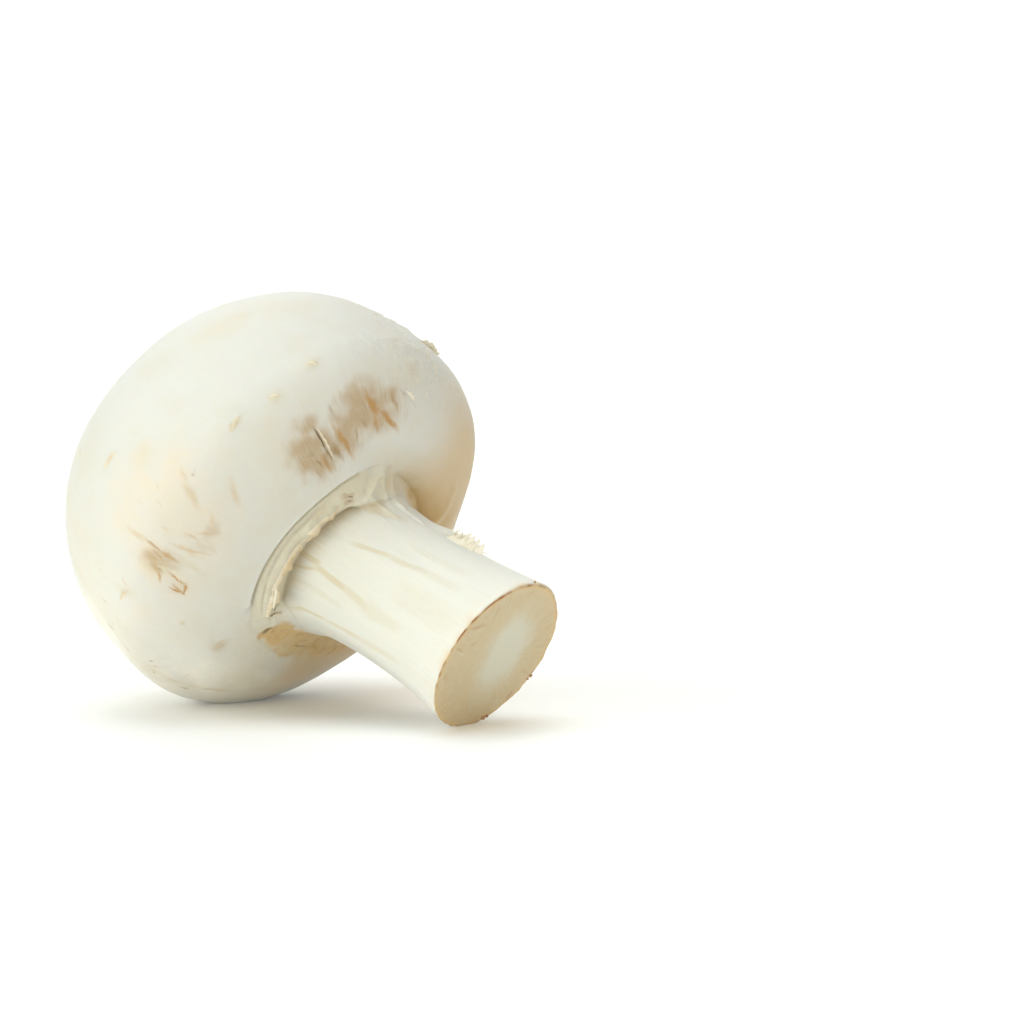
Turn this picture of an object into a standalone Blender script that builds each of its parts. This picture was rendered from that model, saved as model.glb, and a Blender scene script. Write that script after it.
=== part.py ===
"""A closed-cup button mushroom, lying on its side with the stem cut.

The mushroom grew as one body, so it is one closed solid: the domed cap, the
rolled margin, the veil that still bridges the margin and the stem, and the cut
stem.  It is lofted ring by ring.  Cap rings stand on the cap's axis and stem
rings on the stem's own axis, which leaves the cap a little off its centre and
bends a few degrees, as the real one does.

Angles round the axes are in degrees: 0 faces up, 90 the near side (-Y), 180 down
and 270 the far side (+Y).  Lengths are in millimetres until the mesh is written.
"""
import bpy
import numpy as np

MM = 0.001

# Cap
CAP_RADIUS = 25.0
DOME_HEIGHT = 23.0          # pole above the widest ring
DOME_POWER = 2.42           # 2 is an ellipse, more is squarer
UNDER_DEPTH = 11.8          # widest ring down to where the underside would close
UNDER_POWER = 2.14
CAP_DIP = 31.0              # the cap's axis points this far below level
CAP_YAW = -5.6

# Rolled margin and the crevice behind it
MARGIN_RADIUS = 13.8
MARGIN_FLARES = ((5.0, 45.0, 0.8), (-72.0, 42.0, 0.9))   # angle, half width, height
LIP_WIDTH = 0.75
LIP_RISE = 0.15
LIP_RIDGE = (-58.0, 32.0, 0.5)                           # angle, half width, height
CREVICE_DEPTH = 0.7
CREVICE_FROM, CREVICE_TO = -8.0, 128.0
CREVICE_FADE = 16.0

# Veil between the margin and the stem
VEIL_INNER_RADIUS = 10.9
VEIL_INNER_DEPTH = 11.3
VEIL_BULGE = 0.35
VEIL_RAG = 0.35
FREE_FROM, FREE_TO, FREE_FADE = 24.0, 115.0, 9.0      # its inner edge hangs free here
VEIL_TUCK = 0.9             # how far it meets the stem behind that edge
VEIL_CLOSE = 0.2            # edge above the stem where it doesn't hang free
POCKET_FROM, POCKET_TO = -62.0, -34.0                 # a hollow behind the stem
POCKET_FADE = 30.0
POCKET_DEPTH = 3.0
TORN_FROM, TORN_TO, TORN_FADE = 142.0, 196.0, 8.0     # its outer layer is torn off below
TORN_DEPTH = 0.6

# Stem
STEM_DIP = 25.0
STEM_YAW = 2.8
STEM_UP, STEM_NEAR = 0.95, -0.62              # stem centre from the cap's axis, at the margin
STEM_START = 10.4                             # along the cap's axis
STEM_LENGTH = 22.3
NECK_RADIUS, WAIST_RADIUS, END_RADIUS = 9.05, 8.4, 9.6
CUT_TILT = 0.08
CUT_TILT_TOWARD = -33.0
CUT_EDGE = 0.25
CUT_DISH = 0.25
RIDGES = ((5, 0.10, 40.0), (9, 0.06, 10.0), (14, 0.04, 75.0))   # count, height, angle

# Swellings and dents of the skin: angle, share of the way from pole to margin,
# half width, height.
SKIN_LUMPS = (
    (-12.0, 0.42, 5.0, 0.15), (20.0, 0.54, 7.0, -0.15), (-35.0, 0.56, 2.4, 0.30),
    (15.0, 0.33, 11.0, -0.22), (88.0, 0.33, 11.0, 0.22), (95.0, 0.72, 9.0, 0.30),
    (150.0, 0.62, 10.0, -0.15), (60.0, 0.20, 8.0, -0.25), (215.0, 0.45, 9.0, -0.30),
    (-60.0, 0.62, 9.0, 0.25), (-83.0, 0.86, 5.0, -0.55), (-120.0, 0.80, 7.0, 0.25),
    (182.0, 0.83, 7.0, 0.25),
)
# The torn tuft on the stem: angle, distance from the margin, half width, height.
STEM_TUFT = (-27.0, 9.0, 1.3, 0.6)

# How far the ground presses a flat spot into the cap, and blunts the stem's rim
FLAT_DEPTH = 0.3
RIM_PRESS = 0.1

# Mesh: points round, and rings along each stretch
ROUND = 96
RINGS_DOME, RINGS_UNDER, RINGS_VEIL, RINGS_STEM, RINGS_CUT = 17, 9, 5, 9, 4


def axes(dip, yaw):
    """The axis pointing to the cut end, the upward normal to it, and the near side."""
    dip, yaw = np.radians(dip), np.radians(yaw)
    along = np.array([np.cos(dip) * np.cos(yaw), np.cos(dip) * np.sin(yaw), -np.sin(dip)])
    up = np.array([0.0, 0.0, 1.0]) - along[2] * along
    up /= np.linalg.norm(up)
    return along, up, np.cross(along, up)


CAP_AXES = axes(CAP_DIP, CAP_YAW)
STEM_AXES = axes(STEM_DIP, STEM_YAW)
STEM_BASE = STEM_START * CAP_AXES[0] + STEM_UP * CAP_AXES[1] + STEM_NEAR * CAP_AXES[2]
TURN = np.arange(ROUND) * 360.0 / ROUND


def ring(frame, centre, along, radius):
    """Points round an axis, at distance along it and radius from it."""
    axis, up, near = frame
    turn = np.radians(TURN)[:, None]
    out = np.cos(turn) * up + np.sin(turn) * near
    along = np.broadcast_to(along, (ROUND,))[:, None]
    radius = np.broadcast_to(radius, (ROUND,))[:, None]
    return centre + along * axis + radius * out


def off_angle(centre):
    """Each point's angle from centre, from -180 to 180."""
    return (TURN - centre + 180.0) % 360.0 - 180.0


def window(centre, half):
    """A smooth bump of height 1 round an angle, 0 beyond half to each side."""
    share = np.clip(np.abs(off_angle(centre)) / half, 0.0, 1.0)
    return np.cos(share * np.pi / 2) ** 2


def stretch(start, end, fade):
    """1 between two angles, fading to 0 over fade degrees past each."""
    half = (end - start) / 2
    past = np.clip((np.abs(off_angle(start + half)) - half) / fade, 0.0, 1.0)
    return np.cos(past * np.pi / 2) ** 2


def wave(count, angle):
    return np.cos(np.radians(count * (TURN - angle)))


def margin_radius():
    flares = sum(height * window(angle, half) for angle, half, height in MARGIN_FLARES)
    return MARGIN_RADIUS + flares


def skin_height(path_share, along, radius):
    """Height of the skin's swellings and dents on one cap ring."""
    height = 0.12 * wave(3, 35.0) * np.sin(np.pi * path_share)
    for angle, share, half, lump in SKIN_LUMPS:
        across = np.radians(off_angle(angle)) * radius
        away = (path_share - share) * (DOME_HEIGHT + CAP_RADIUS)
        height = height + lump * np.exp(-(across ** 2 + away ** 2) / half ** 2)
    return height


def cap_rings():
    """From the pole over the widest ring to the margin."""
    rings = []
    for turn in np.linspace(0.0, 90.0, RINGS_DOME + 1)[1:]:
        turn = np.radians(turn)
        along = -DOME_HEIGHT * np.cos(turn) ** (2 / DOME_POWER)
        radius = CAP_RADIUS * np.sin(turn) ** (2 / DOME_POWER)
        rings.append((along, radius))
    last = np.arcsin((margin_radius() / CAP_RADIUS) ** (UNDER_POWER / 2))
    for share in np.linspace(0.0, 1.0, RINGS_UNDER + 1)[1:]:
        turn = np.pi / 2 - share * (np.pi / 2 - last)
        along = UNDER_DEPTH * np.cos(turn) ** (2 / UNDER_POWER)
        radius = CAP_RADIUS * np.sin(turn) ** (2 / UNDER_POWER)
        rings.append((along, radius))
    points = []
    for number, (along, radius) in enumerate(rings):
        share = (number + 1) / len(rings)
        swell = 1 + skin_height(share, along, radius) / CAP_RADIUS
        points.append(ring(CAP_AXES, 0.0, along * swell, radius * swell))
    return points


def crevice_rings():
    """The lip of the margin, the crevice behind it and the veil's outer edge."""
    deep = CREVICE_DEPTH * stretch(CREVICE_FROM, CREVICE_TO, CREVICE_FADE)
    edge = margin_radius()
    level = UNDER_DEPTH * (1 - (edge / CAP_RADIUS) ** UNDER_POWER) ** (1 / UNDER_POWER)
    angle, half, height = LIP_RIDGE
    steps = (
        (0.45, LIP_RISE + height * window(angle, half)),
        (0.80, 0.05 - 0.15 * deep),
        (1.00, 0.10 - deep),
        (1.25, 0.15 - 0.1 * deep),
    )
    return [ring(CAP_AXES, 0.0, level + rise, edge - step * LIP_WIDTH) for step, rise in steps]


def stem_radius(along):
    """A waisted stem: neck, waist half way, and the wider cut end."""
    share = along / STEM_LENGTH
    waist = 4 * WAIST_RADIUS * share * (1 - share)
    return NECK_RADIUS * (1 - share) * (1 - 2 * share) + waist + END_RADIUS * share * (2 * share - 1)


def stem_surface(along):
    """One stem ring, with its lengthwise ridges and the tuft."""
    share = np.clip(along / STEM_LENGTH, 0.0, 1.0)
    radius = stem_radius(along)
    for count, height, angle in RIDGES:
        radius = radius + height * wave(count, angle + 6.0 * share) * np.sin(np.pi * share) ** 0.5
    angle, place, half, height = STEM_TUFT
    away = (np.radians(off_angle(angle)) * WAIST_RADIUS) ** 2 + ((along - place) / 1.6) ** 2
    radius = radius + height * np.exp(-away / half ** 2)
    return ring(STEM_AXES, STEM_BASE, along, radius)


def pocket():
    """Depth of the hollow behind the stem, as a share: it ends at a steep wall."""
    return stretch(POCKET_FROM, POCKET_TO, POCKET_FADE)


def stem_at_depth(depth):
    """The stem's ring where its surface lies at a depth along the cap's axis."""
    along = depth - STEM_START
    for _ in range(4):
        reached = stem_surface(along) @ CAP_AXES[0]
        along = along + (depth - reached) / (STEM_AXES[0] @ CAP_AXES[0])
    return along, stem_surface(along)


def veil_edge():
    """The veil's inner edge: its crest, then its foot on the stem.

    Where the edge hangs free it stands off the stem, which comes out from behind it.
    """
    free = stretch(FREE_FROM, FREE_TO, FREE_FADE)
    ragged = VEIL_RAG * (0.6 * wave(11, 20.0) + 0.5 * wave(17, 55.0) + 0.4 * wave(29, 5.0))
    start, foot = stem_at_depth(VEIL_INNER_DEPTH - VEIL_TUCK * free - POCKET_DEPTH * pocket())
    hanging = ring(CAP_AXES, 0.0, VEIL_INNER_DEPTH + 0.6 * ragged, VEIL_INNER_RADIUS + ragged)
    outward = ring(STEM_AXES, 0.0, 0.0, 1.0)
    close = foot + VEIL_CLOSE * (outward + CAP_AXES[0])
    crest = close + free[:, None] * (hanging - close)
    return start, crest, foot


def veil_rings(outer, crest):
    """The veil from its outer edge to its crest, with its hollow and its tear."""
    sunk = 0.5 * POCKET_DEPTH * pocket()
    torn = TORN_DEPTH * stretch(TORN_FROM, TORN_TO, TORN_FADE)
    rings = []
    for share in np.linspace(0.0, 1.0, RINGS_VEIL + 1)[1:-1]:
        arch = np.sin(np.pi * share)
        rise = (VEIL_BULGE - sunk - torn) * arch
        rings.append(outer + share * (crest - outer) + rise[:, None] * CAP_AXES[0])
    return rings


def cut_level(radius):
    """Where the cut lies along the stem: a plane a few degrees off square."""
    return STEM_LENGTH + CUT_TILT * radius * np.cos(np.radians(TURN - CUT_TILT_TOWARD))


def stem_rings(start):
    """From the veil's foot down the stem to just above the cut."""
    end = cut_level(END_RADIUS) - CUT_EDGE
    shares = np.linspace(0.0, 1.0, RINGS_STEM + 1)[1:] ** 1.25
    return [stem_surface(start + share * (end - start)) for share in shares]


def cut_rings():
    """The cut face from its rim inward, dished a little."""
    rings = [ring(STEM_AXES, STEM_BASE, cut_level(END_RADIUS), END_RADIUS - 0.6 * CUT_EDGE)]
    for share in np.linspace(1.0, 0.0, RINGS_CUT + 1)[1:-1]:
        radius = share * END_RADIUS
        dish = CUT_DISH * (1 - share ** 2)
        rings.append(ring(STEM_AXES, STEM_BASE, cut_level(radius) - dish, radius))
    return rings


def lay_down(points, is_stem):
    """Pitch the mushroom until cap and stem both touch, then set it on the ground."""
    low, high = -0.3, 0.3
    for _ in range(40):
        pitch = (low + high) / 2
        height = points[:, 2] * np.cos(pitch) - points[:, 0] * np.sin(pitch)
        if height[is_stem].min() - height[~is_stem].min() > FLAT_DEPTH - RIM_PRESS:
            low = pitch
        else:
            high = pitch
    turned = points.copy()
    turned[:, 0] = points[:, 0] * np.cos(pitch) + points[:, 2] * np.sin(pitch)
    turned[:, 2] = height - height.min() - FLAT_DEPTH
    turned[:, 2] = np.maximum(turned[:, 2], 0.0)
    turned[:, :2] -= (turned[:, :2].min(axis=0) + turned[:, :2].max(axis=0)) / 2
    return turned


def mushroom_mesh():
    """Loft the rings into one closed mesh, with a point at the pole and at the cut."""
    cap = cap_rings()
    crevice = crevice_rings()
    start, crest, foot = veil_edge()
    stem = stem_rings(start) + cut_rings()
    rings = cap + crevice + veil_rings(crevice[-1], crest) + [crest, foot] + stem
    pole = -DOME_HEIGHT * CAP_AXES[0]
    heart = STEM_BASE + (STEM_LENGTH - CUT_DISH) * STEM_AXES[0]
    points = np.vstack(rings + [pole[None], heart[None]])
    is_stem = np.zeros(len(points), bool)
    is_stem[(len(rings) - len(stem)) * ROUND:] = True
    is_stem[-2] = False
    points = lay_down(points, is_stem)

    faces = []
    last = len(rings) - 1
    pole_index, heart_index = len(points) - 2, len(points) - 1
    for i in range(ROUND):
        j = (i + 1) % ROUND
        faces.append((pole_index, j, i))
        faces.append((heart_index, last * ROUND + i, last * ROUND + j))
        for k in range(last):
            a, b = k * ROUND, (k + 1) * ROUND
            faces.append((a + i, a + j, b + j, b + i))
    mesh = bpy.data.meshes.new("button_mushroom")
    mesh.from_pydata((points * MM).tolist(), [], faces)
    mesh.validate()
    return mesh


def skin_material():
    material = bpy.data.materials.new("mushroom_skin")
    material.use_nodes = True
    shader = material.node_tree.nodes["Principled BSDF"]
    shader.inputs["Base Color"].default_value = (0.83, 0.80, 0.71, 1.0)
    shader.inputs["Roughness"].default_value = 0.6
    shader.inputs["Metallic"].default_value = 0.0
    return material


def main():
    for old in list(bpy.data.objects):
        bpy.data.objects.remove(old, do_unlink=True)
    mesh = mushroom_mesh()
    mesh.materials.append(skin_material())
    mesh.shade_smooth()
    body = bpy.data.objects.new("button_mushroom", mesh)
    bpy.context.collection.objects.link(body)


main()
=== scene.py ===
"""The looks of the button mushroom: its skin, veil, stem and cut, on a pale studio floor.

The body is lofted as in the part's source, from the same named values, with many more
rings and points, and fine relief is then raised on it.  The torn bits of skin and veil
are thin pieces of their own.  Angles round the axes are in degrees: 0 faces up, 90 the
near side (-Y), 180 down and 270 the far side.  "Path" is the distance walked over the
surface from the middle of the dome, down to the cut: the widest ring is near 39, the
margin near 55, the veil's inner edge near 60 and the cut's rim near 84.
Lengths are in millimetres until a mesh is written.
"""
import math
import random

import bmesh
import bpy
import numpy as np
from mathutils import Matrix, Vector, noise


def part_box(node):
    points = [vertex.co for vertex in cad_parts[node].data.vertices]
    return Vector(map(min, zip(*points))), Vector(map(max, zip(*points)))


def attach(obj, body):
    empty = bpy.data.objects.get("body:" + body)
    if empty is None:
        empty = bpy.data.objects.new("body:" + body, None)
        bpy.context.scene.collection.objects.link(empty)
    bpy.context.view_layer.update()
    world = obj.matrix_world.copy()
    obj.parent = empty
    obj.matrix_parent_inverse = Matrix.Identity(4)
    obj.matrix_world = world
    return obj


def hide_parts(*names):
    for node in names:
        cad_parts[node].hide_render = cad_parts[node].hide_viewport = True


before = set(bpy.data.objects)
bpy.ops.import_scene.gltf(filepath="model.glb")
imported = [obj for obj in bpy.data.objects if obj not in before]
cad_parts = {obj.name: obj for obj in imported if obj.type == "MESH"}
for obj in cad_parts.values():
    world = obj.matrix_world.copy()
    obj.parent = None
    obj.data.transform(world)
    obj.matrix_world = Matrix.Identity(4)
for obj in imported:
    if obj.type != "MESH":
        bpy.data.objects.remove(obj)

MM = 0.001

# ---- The body, as in the part's source ------------------
CAP_RADIUS = 25.0
DOME_HEIGHT = 23.0
DOME_POWER = 2.42
UNDER_DEPTH = 11.8
UNDER_POWER = 2.14
CAP_DIP = 31.0
CAP_YAW = -5.6

MARGIN_RADIUS = 13.8
MARGIN_FLARES = ((5.0, 45.0, 0.8), (-72.0, 42.0, 0.9))
LIP_WIDTH = 0.75
LIP_RISE = 0.15
LIP_RIDGE = (-58.0, 32.0, 0.5)
CREVICE_DEPTH = 0.7
CREVICE_FROM, CREVICE_TO = -8.0, 128.0
CREVICE_FADE = 16.0

VEIL_INNER_RADIUS = 10.9
VEIL_INNER_DEPTH = 11.3
VEIL_BULGE = 0.35
VEIL_RAG = 0.35
FREE_FROM, FREE_TO, FREE_FADE = 31.0, 115.0, 5.0
VEIL_TUCK = 0.9
VEIL_CLOSE = 0.2
POCKET_FROM, POCKET_TO = -62.0, -34.0
POCKET_FADE = 30.0
POCKET_DEPTH = 3.0
TORN_FROM, TORN_TO, TORN_FADE = 142.0, 196.0, 8.0
TORN_DEPTH = 0.6

STEM_DIP = 25.0
STEM_YAW = 2.8
STEM_UP, STEM_NEAR = 0.95, -0.62
STEM_START = 10.4
STEM_LENGTH = 22.3
NECK_RADIUS, WAIST_RADIUS, END_RADIUS = 9.05, 8.4, 9.6
CUT_TILT = 0.08
CUT_TILT_TOWARD = -33.0
CUT_EDGE = 0.25
CUT_DISH = 0.25
RIDGES = ((5, 0.10, 40.0), (9, 0.06, 10.0), (14, 0.04, 75.0))

SKIN_LUMPS = (
    (-12, 0.42, 5, 0.15), (20, 0.54, 7, -0.15), (-35, 0.56, 2.4, 0.3), (15, 0.33, 11, -0.22),
    (88, 0.33, 11, 0.22), (95, 0.72, 9, 0.3), (150, 0.62, 10, -0.15), (60, 0.2, 8, -0.25),
    (215, 0.45, 9, -0.3), (-60, 0.62, 9, 0.25), (-83, 0.86, 5, -0.55), (-120, 0.8, 7, 0.25),
    (182, 0.83, 7, 0.25),
)
STEM_TUFT = (-27.0, 9.0, 1.3, 0.6)
FLAT_DEPTH = 0.3
RIM_PRESS = 0.1

# The pale heart of the cut: shares of its radius.
HEART_ASIDE, HEART_WIDTH, HEART_HEIGHT = 0.17, 0.38, 0.58

# ---- Finer forms that only the looks have ---------------
FINE_RAG = 0.30
POCKET_NEAR_FADE = 52.0
EDGE_RETREAT, EDGE_RETREAT_AT = 0.7, 108.0
SMOOTH_LIP_FROM, SMOOTH_LIP_TO, SMOOTH_FADE = 20.0, 108.0, 17.0
SMOOTH_PASSES = 400

# Noise drawn out along the path lies round these radii.
CAP_GRAIN_RADIUS, STEM_GRAIN_RADIUS = 20.0, 9.0
# How far from the cut's rim its stain and brown line are told apart.
RIM_REACH = 3.0

# ---- Mesh fineness --------------------------------------
ROUND = 376
RINGS_DOME, RINGS_UNDER, RINGS_VEIL, RINGS_STEM, RINGS_CUT = 80, 48, 24, 62, 22
CREVICE_SPLIT, DROP_SPLIT = 3, 4

# ---- Marks on the skin, and painted light and shade -----
# Soft patches: angle, path, half width across and along, strength, and any lean in degrees.
TAN_PATCHES = (
    (11, 48.4, 4, 3.2, 1), (2, 48, 3, 2.4, 0.75), (21, 49.8, 2.2, 3.2, 0.9), (12, 45.6, 4, 1.6, 0.45),
    (35, 49.5, 3, 3.2, 1), (34, 47.2, 2.2, 1.6, 0.8), (19, 46.4, 2, 1.5, 0.6), (31, 51.5, 2.4, 2.2, 1),
    (43.5, 51.8, 0.6, 1.2, 0.5), (27, 52.4, 2, 1.2, 0.6), (92, 43.8, 1.4, 2.2, 0.7, 15),
    (99, 46.6, 1.2, 1.6, 0.3, 15), (77, 47.5, 1.4, 1, 0.35), (84, 47.5, 1, 2, 0.3, 20),
    (130, 52, 2.2, 1.6, 0.4, 50),
)
PEACH_PATCHES = (
    (70, 40.5, 4.6, 4.4, 0.8, 30), (78, 45, 4, 4.4, 0.8), (78, 37, 3.8, 4.2, 0.9), (88, 38, 3.5, 4, 0.6),
    (100, 42, 3.5, 3.5, 0.35), (110, 44, 4, 3, 0.35), (94, 43.5, 3, 3.5, 1), (99, 46.5, 2.2, 2.6, 0.8),
    (84, 47, 3, 2.6, 0.7),
)
CREAM_PATCHES = (
    (32, 28.5, 3.6, 2.2, 0.8), (52, 27, 2.5, 2.5, 0.4), (72.2, 35.3, 1.6, 1.6, 1),
    (88, 26, 4.5, 3.5, 0.5), (120, 37.5, 3, 4.5, 0.6), (137, 42, 5, 3, 0.6), (150, 45, 4, 2.4, 0.6),
    (104, 30, 2.4, 9, 0.5), (118, 33, 2.6, 6, 0.6), (23, 40.8, 1, 0.8, 1), (37, 42.1, 0.9, 0.8, 0.8),
    (-9, 44.5, 2.2, 1.8, 0.5), (60, 53, 6, 2, 0.4), (114, 50, 5, 3.5, 0.45), (200, 34, 7, 5, 0.5),
    (235, 22, 6, 4, 0.45, 30), (-78, 30, 5, 6, 0.4), (170, 18, 6, 3, 0.4, 20), (-100, 48, 7, 3, 0.6),
    (-30, 12, 5, 3, 0.35), (155, 40, 6, 4, 0.5), (165, 50, 6, 4, 0.8), (95, 52, 4, 3, 0.4),
)
# Strokes run from one place to another: angle, path, angle, path, half width, strength.
ORANGE_STROKES = (
    (11.4, 46.4, 6.6, 49.8, 0.38, 1), (8.4, 48.6, 7.4, 51.4, 0.26, 0.8), (8, 48.3, -3, 51.8, 0.26, 1),
    (26, 48.2, 20.4, 53.4, 0.28, 0.9), (11.4, 45.6, 10.4, 46.8, 0.28, 0.6),
    (40.7, 49.8, 39.8, 51.2, 0.25, 0.5), (34, 50, 31, 54, 0.3, 0.6), (0.8, 46.8, -2, 49.4, 0.34, 0.6),
    (88.3, 41.6, 89.3, 43.6, 0.16, 0.8), (89.1, 43.2, 90.7, 45.8, 0.24, 0.9),
    (94.3, 43.2, 95.6, 44.4, 0.36, 0.9), (93.8, 43.8, 98.8, 44.6, 0.15, 1),
    (94.2, 45.1, 97.7, 47.6, 0.14, 1), (97.3, 47.4, 101, 47.6, 0.16, 1), (99.2, 45.8, 101, 47.6, 0.16, 1),
    (91.4, 42, 93.6, 44.2, 0.4, 0.5), (97.8, 46, 100.6, 47.3, 0.12, 0.8),
    (90, 42.6, 92.4, 44.8, 0.14, 0.7),
)
BROWN_STROKES = (
    (28.9, 49.6, 25.4, 52.9, 0.34, 0.8), (36.4, 49.3, 36, 50, 0.34, 0.9),
    (35.8, 50.8, 34.8, 52.1, 0.15, 0.9), (24, 46, 24.4, 47.6, 0.26, 0.45),
    (14.6, 49.3, 11.8, 50.6, 0.22, 0.6), (18, 49.6, 16.4, 52.2, 0.16, 0.5),
    (1, 47, -1.8, 48.8, 0.26, 0.5), (5, 46, 2, 48.4, 0.2, 0.3), (-2.8, 46.5, -6.6, 47.6, 0.17, 0.5),
    (-7, 47.5, -11.4, 48.6, 0.1, 0.3), (30.2, 52.6, 29, 53.8, 0.16, 0.4),
    (38, 51.6, 37.4, 53.2, 0.12, 0.5), (22.5, 50.5, 21, 53.4, 0.12, 0.4),
    (33.4, 49.6, 31.4, 52.6, 0.1, 0.6), (13, 46.5, 12, 48.6, 0.16, 0.4),
    (66.7, 41.8, 66.5, 42.3, 0.16, 0.55), (64.6, 41.9, 66.3, 42, 0.07, 0.4),
    (-73.6, 50.5, -73.8, 51.1, 0.15, 1), (125.6, 37.4, 125.6, 39.1, 0.08, 0.6),
    (134.6, 42.9, 135.2, 44.3, 0.08, 0.6), (138.2, 42.9, 139.4, 43.2, 0.08, 0.7),
    (142, 44, 144.6, 45, 0.09, 0.7), (148, 44.6, 151, 45.2, 0.09, 0.7),
    (129, 40.4, 130.6, 41.2, 0.09, 0.5), (131.6, 43.4, 131.8, 43.8, 0.2, 0.7),
    (121.4, 38.4, 122.4, 39.2, 0.1, 0.6), (116, 37, 116.6, 37.8, 0.1, 0.6),
    (100.2, 47.3, 100.9, 47.7, 0.1, 0.9), (94.4, 44, 95.2, 44.5, 0.16, 0.7),
    (152, 46.6, 156, 47.6, 0.1, 0.6),
)
PALE_STROKES = (
    (122, 37, 131, 41.5, 0.4, 0.35), (133, 42, 143, 44.6, 0.45, 0.4), (143, 44.6, 155, 47.6, 0.45, 0.35),
    (89.3, 38.4, 88.5, 42, 0.3, 0.7), (86.4, 43.8, 85.1, 49, 0.2, 0.8),
    (81.1, 44.6, 81.8, 47.3, 0.2, 0.7), (80.4, 45.8, 77.1, 48.4, 0.18, 0.7),
    (85, 44.4, 87.4, 48.4, 0.24, 0.55), (82.8, 42.2, 83.6, 43.6, 0.16, 0.5),
    (69.2, 41.6, 72.8, 45, 0.4, 0.75), (67.4, 40.2, 69, 42.4, 0.26, 0.5),
    (61, 45.4, 66, 48.6, 0.42, 0.65), (52.2, 42, 46.8, 41.3, 0.26, 0.8),
    (83.4, 31.2, 76.8, 31.5, 0.2, 0.8), (102.6, 40.2, 104.6, 41.1, 0.12, 0.7),
    (104.8, 41.2, 111.4, 40.2, 0.15, 0.8), (130.4, 50.8, 125.2, 52.9, 0.26, 0.6),
    (113, 47.6, 113.2, 48.1, 0.28, 0.7), (78, 40.2, 78.6, 41.6, 0.14, 0.5),
    (74.4, 39, 75.2, 40, 0.14, 0.5), (81, 38.2, 81.4, 39.2, 0.12, 0.5), (72, 46, 77, 47.8, 0.28, 0.5),
    (88, 45, 92.5, 49.2, 0.4, 0.45), (80, 47, 84, 49.4, 0.3, 0.4), (205, 38, 212, 40.5, 0.25, 0.7),
    (-95, 33, -88, 35.5, 0.2, 0.7), (-120, 20, -112, 18.5, 0.22, 0.7), (-70, 42, -67, 45, 0.2, 0.7),
    (160, 26, 166, 24, 0.2, 0.7), (-150, 45, -146, 48, 0.2, 0.7), (88.6, 22.8, 88.6, 25, 0.2, 0.5),
    (152, 47, 162, 48.8, 0.3, 0.6), (60.9, 58.3, 71.7, 58.9, 0.22, 0.8), (45, 57.8, 42, 58.1, 0.25, 0.8),
)
# Dark lines: the first two are painted shade in the slit on the cap; the rest are dark dashes and torn edges
# of the skin's own: as the strokes above.
DARK_STROKES = (
    (31.95, 47.2, 30.6, 50.9, 0.1, 0.95), (30.6, 50.5, 29.4, 52.4, 0.06, 0.7),
    (28.6, 58.3, 26.4, 58.6, 0.07, 0.7), (28.9, 59.1, 27.2, 59.3, 0.06, 0.7),
    (138.4, 56.8, 133.4, 58.1, 0.24, 0.8), (167, 57.9, 181, 57.6, 0.08, 0.45),
)
SLIT_DEPTH, SLIT_HALF_WIDTH = 0.14, 0.2
VEIL_TAN_STROKES = (
    (31.6, 57.9, 25.4, 58.4, 0.3, 0.9), (30.4, 59, 25.6, 59.5, 0.26, 0.9),
    (38, 58.8, 33, 59.2, 0.26, 0.5), (48, 57.9, 42, 58.2, 0.26, 0.5), (99, 58.6, 92, 59, 0.3, 0.4),
    (76, 58.9, 60, 59, 0.25, 0.5), (140.4, 56.6, 133.6, 57.8, 0.32, 1), (146, 57, 139, 57, 0.2, 0.8),
)
STEM_STREAKS = (
    (76, 59.8, 86.4, 64.6, 0.3, 1), (84, 62.8, 88.6, 69, 0.34, 0.9), (88, 60, 90.5, 65, 0.2, 0.7),
    (86, 66.4, 91.6, 72.4, 0.45, 0.6), (90.5, 69.4, 90.5, 77, 0.75, 0.4), (57, 64.4, 46, 70.8, 0.26, 0.7),
    (49, 68.6, 41.2, 75.6, 0.34, 0.6), (43.6, 72.8, 40, 80, 0.5, 0.35),
    (121.6, 60.2, 124, 67.2, 0.24, 0.75), (123.8, 65, 119.6, 72.4, 0.3, 0.6),
    (121.8, 69.2, 115, 78.4, 0.42, 0.45), (66, 72, 64, 83, 1.6, 0.3), (30, 68, 24, 79, 0.5, 0.3),
    (170, 63, 176, 78, 0.8, 0.6), (-150, 62, -144, 74, 0.6, 0.6), (-105, 64, -100, 80, 0.8, 0.6),
    # The stroke from (24, 60.6) to (10, 66) is painted shade under the veil's torn end; the others are the
    # stem's own streaks.
    (-62, 66, -60, 79, 0.5, 0.5), (24, 60.6, 10, 66, 0.5, 0.5), (100, 62, 102.5, 70, 0.4, 0.35),
)
# Faint stains on the cut: as the strokes above.
CUT_STROKES = (
    (78.3, 84.2, 80.6, 86.5, 0.2, 0.9), (62.3, 83.9, 45.5, 87.1, 0.22, 0.8),
    (74.1, 86.8, 61.4, 88, 0.2, 0.7), (30, 84.6, 34, 86.6, 0.24, 0.5),
    (-137.3, 84.2, -130, 84.6, 0.26, 0.9), (100, 84.4, 112, 85.4, 0.3, 0.5),
    (-9.8, 84.4, -4, 85.6, 0.24, 0.5),
)
# Folds of the veil where it runs smoothly into the hollow: ends, half width, height.
FOLDS = (
    (3, 56.4, 6, 60.4, 0.4, 0.34), (-2, 56.6, 1, 61, 0.4, -0.28), (21, 60, 5, 56.9, 0.35, 0.3),
    (19, 58.6, 9, 56.4, 0.4, -0.22), (-7, 58, -2, 64, 0.4, 0.2), (-12.6, 57.6, -10, 61, 0.4, -0.14),
    (16.9, 59.6, 13, 64.5, 0.26, 0.22), (11, 59.4, 9, 62.6, 0.3, -0.16),
    (-60, 52.5, -72, 56.5, 0.7, 0.35), (-1, 62.2, -4.2, 67, 0.3, 0.18),
)
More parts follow.
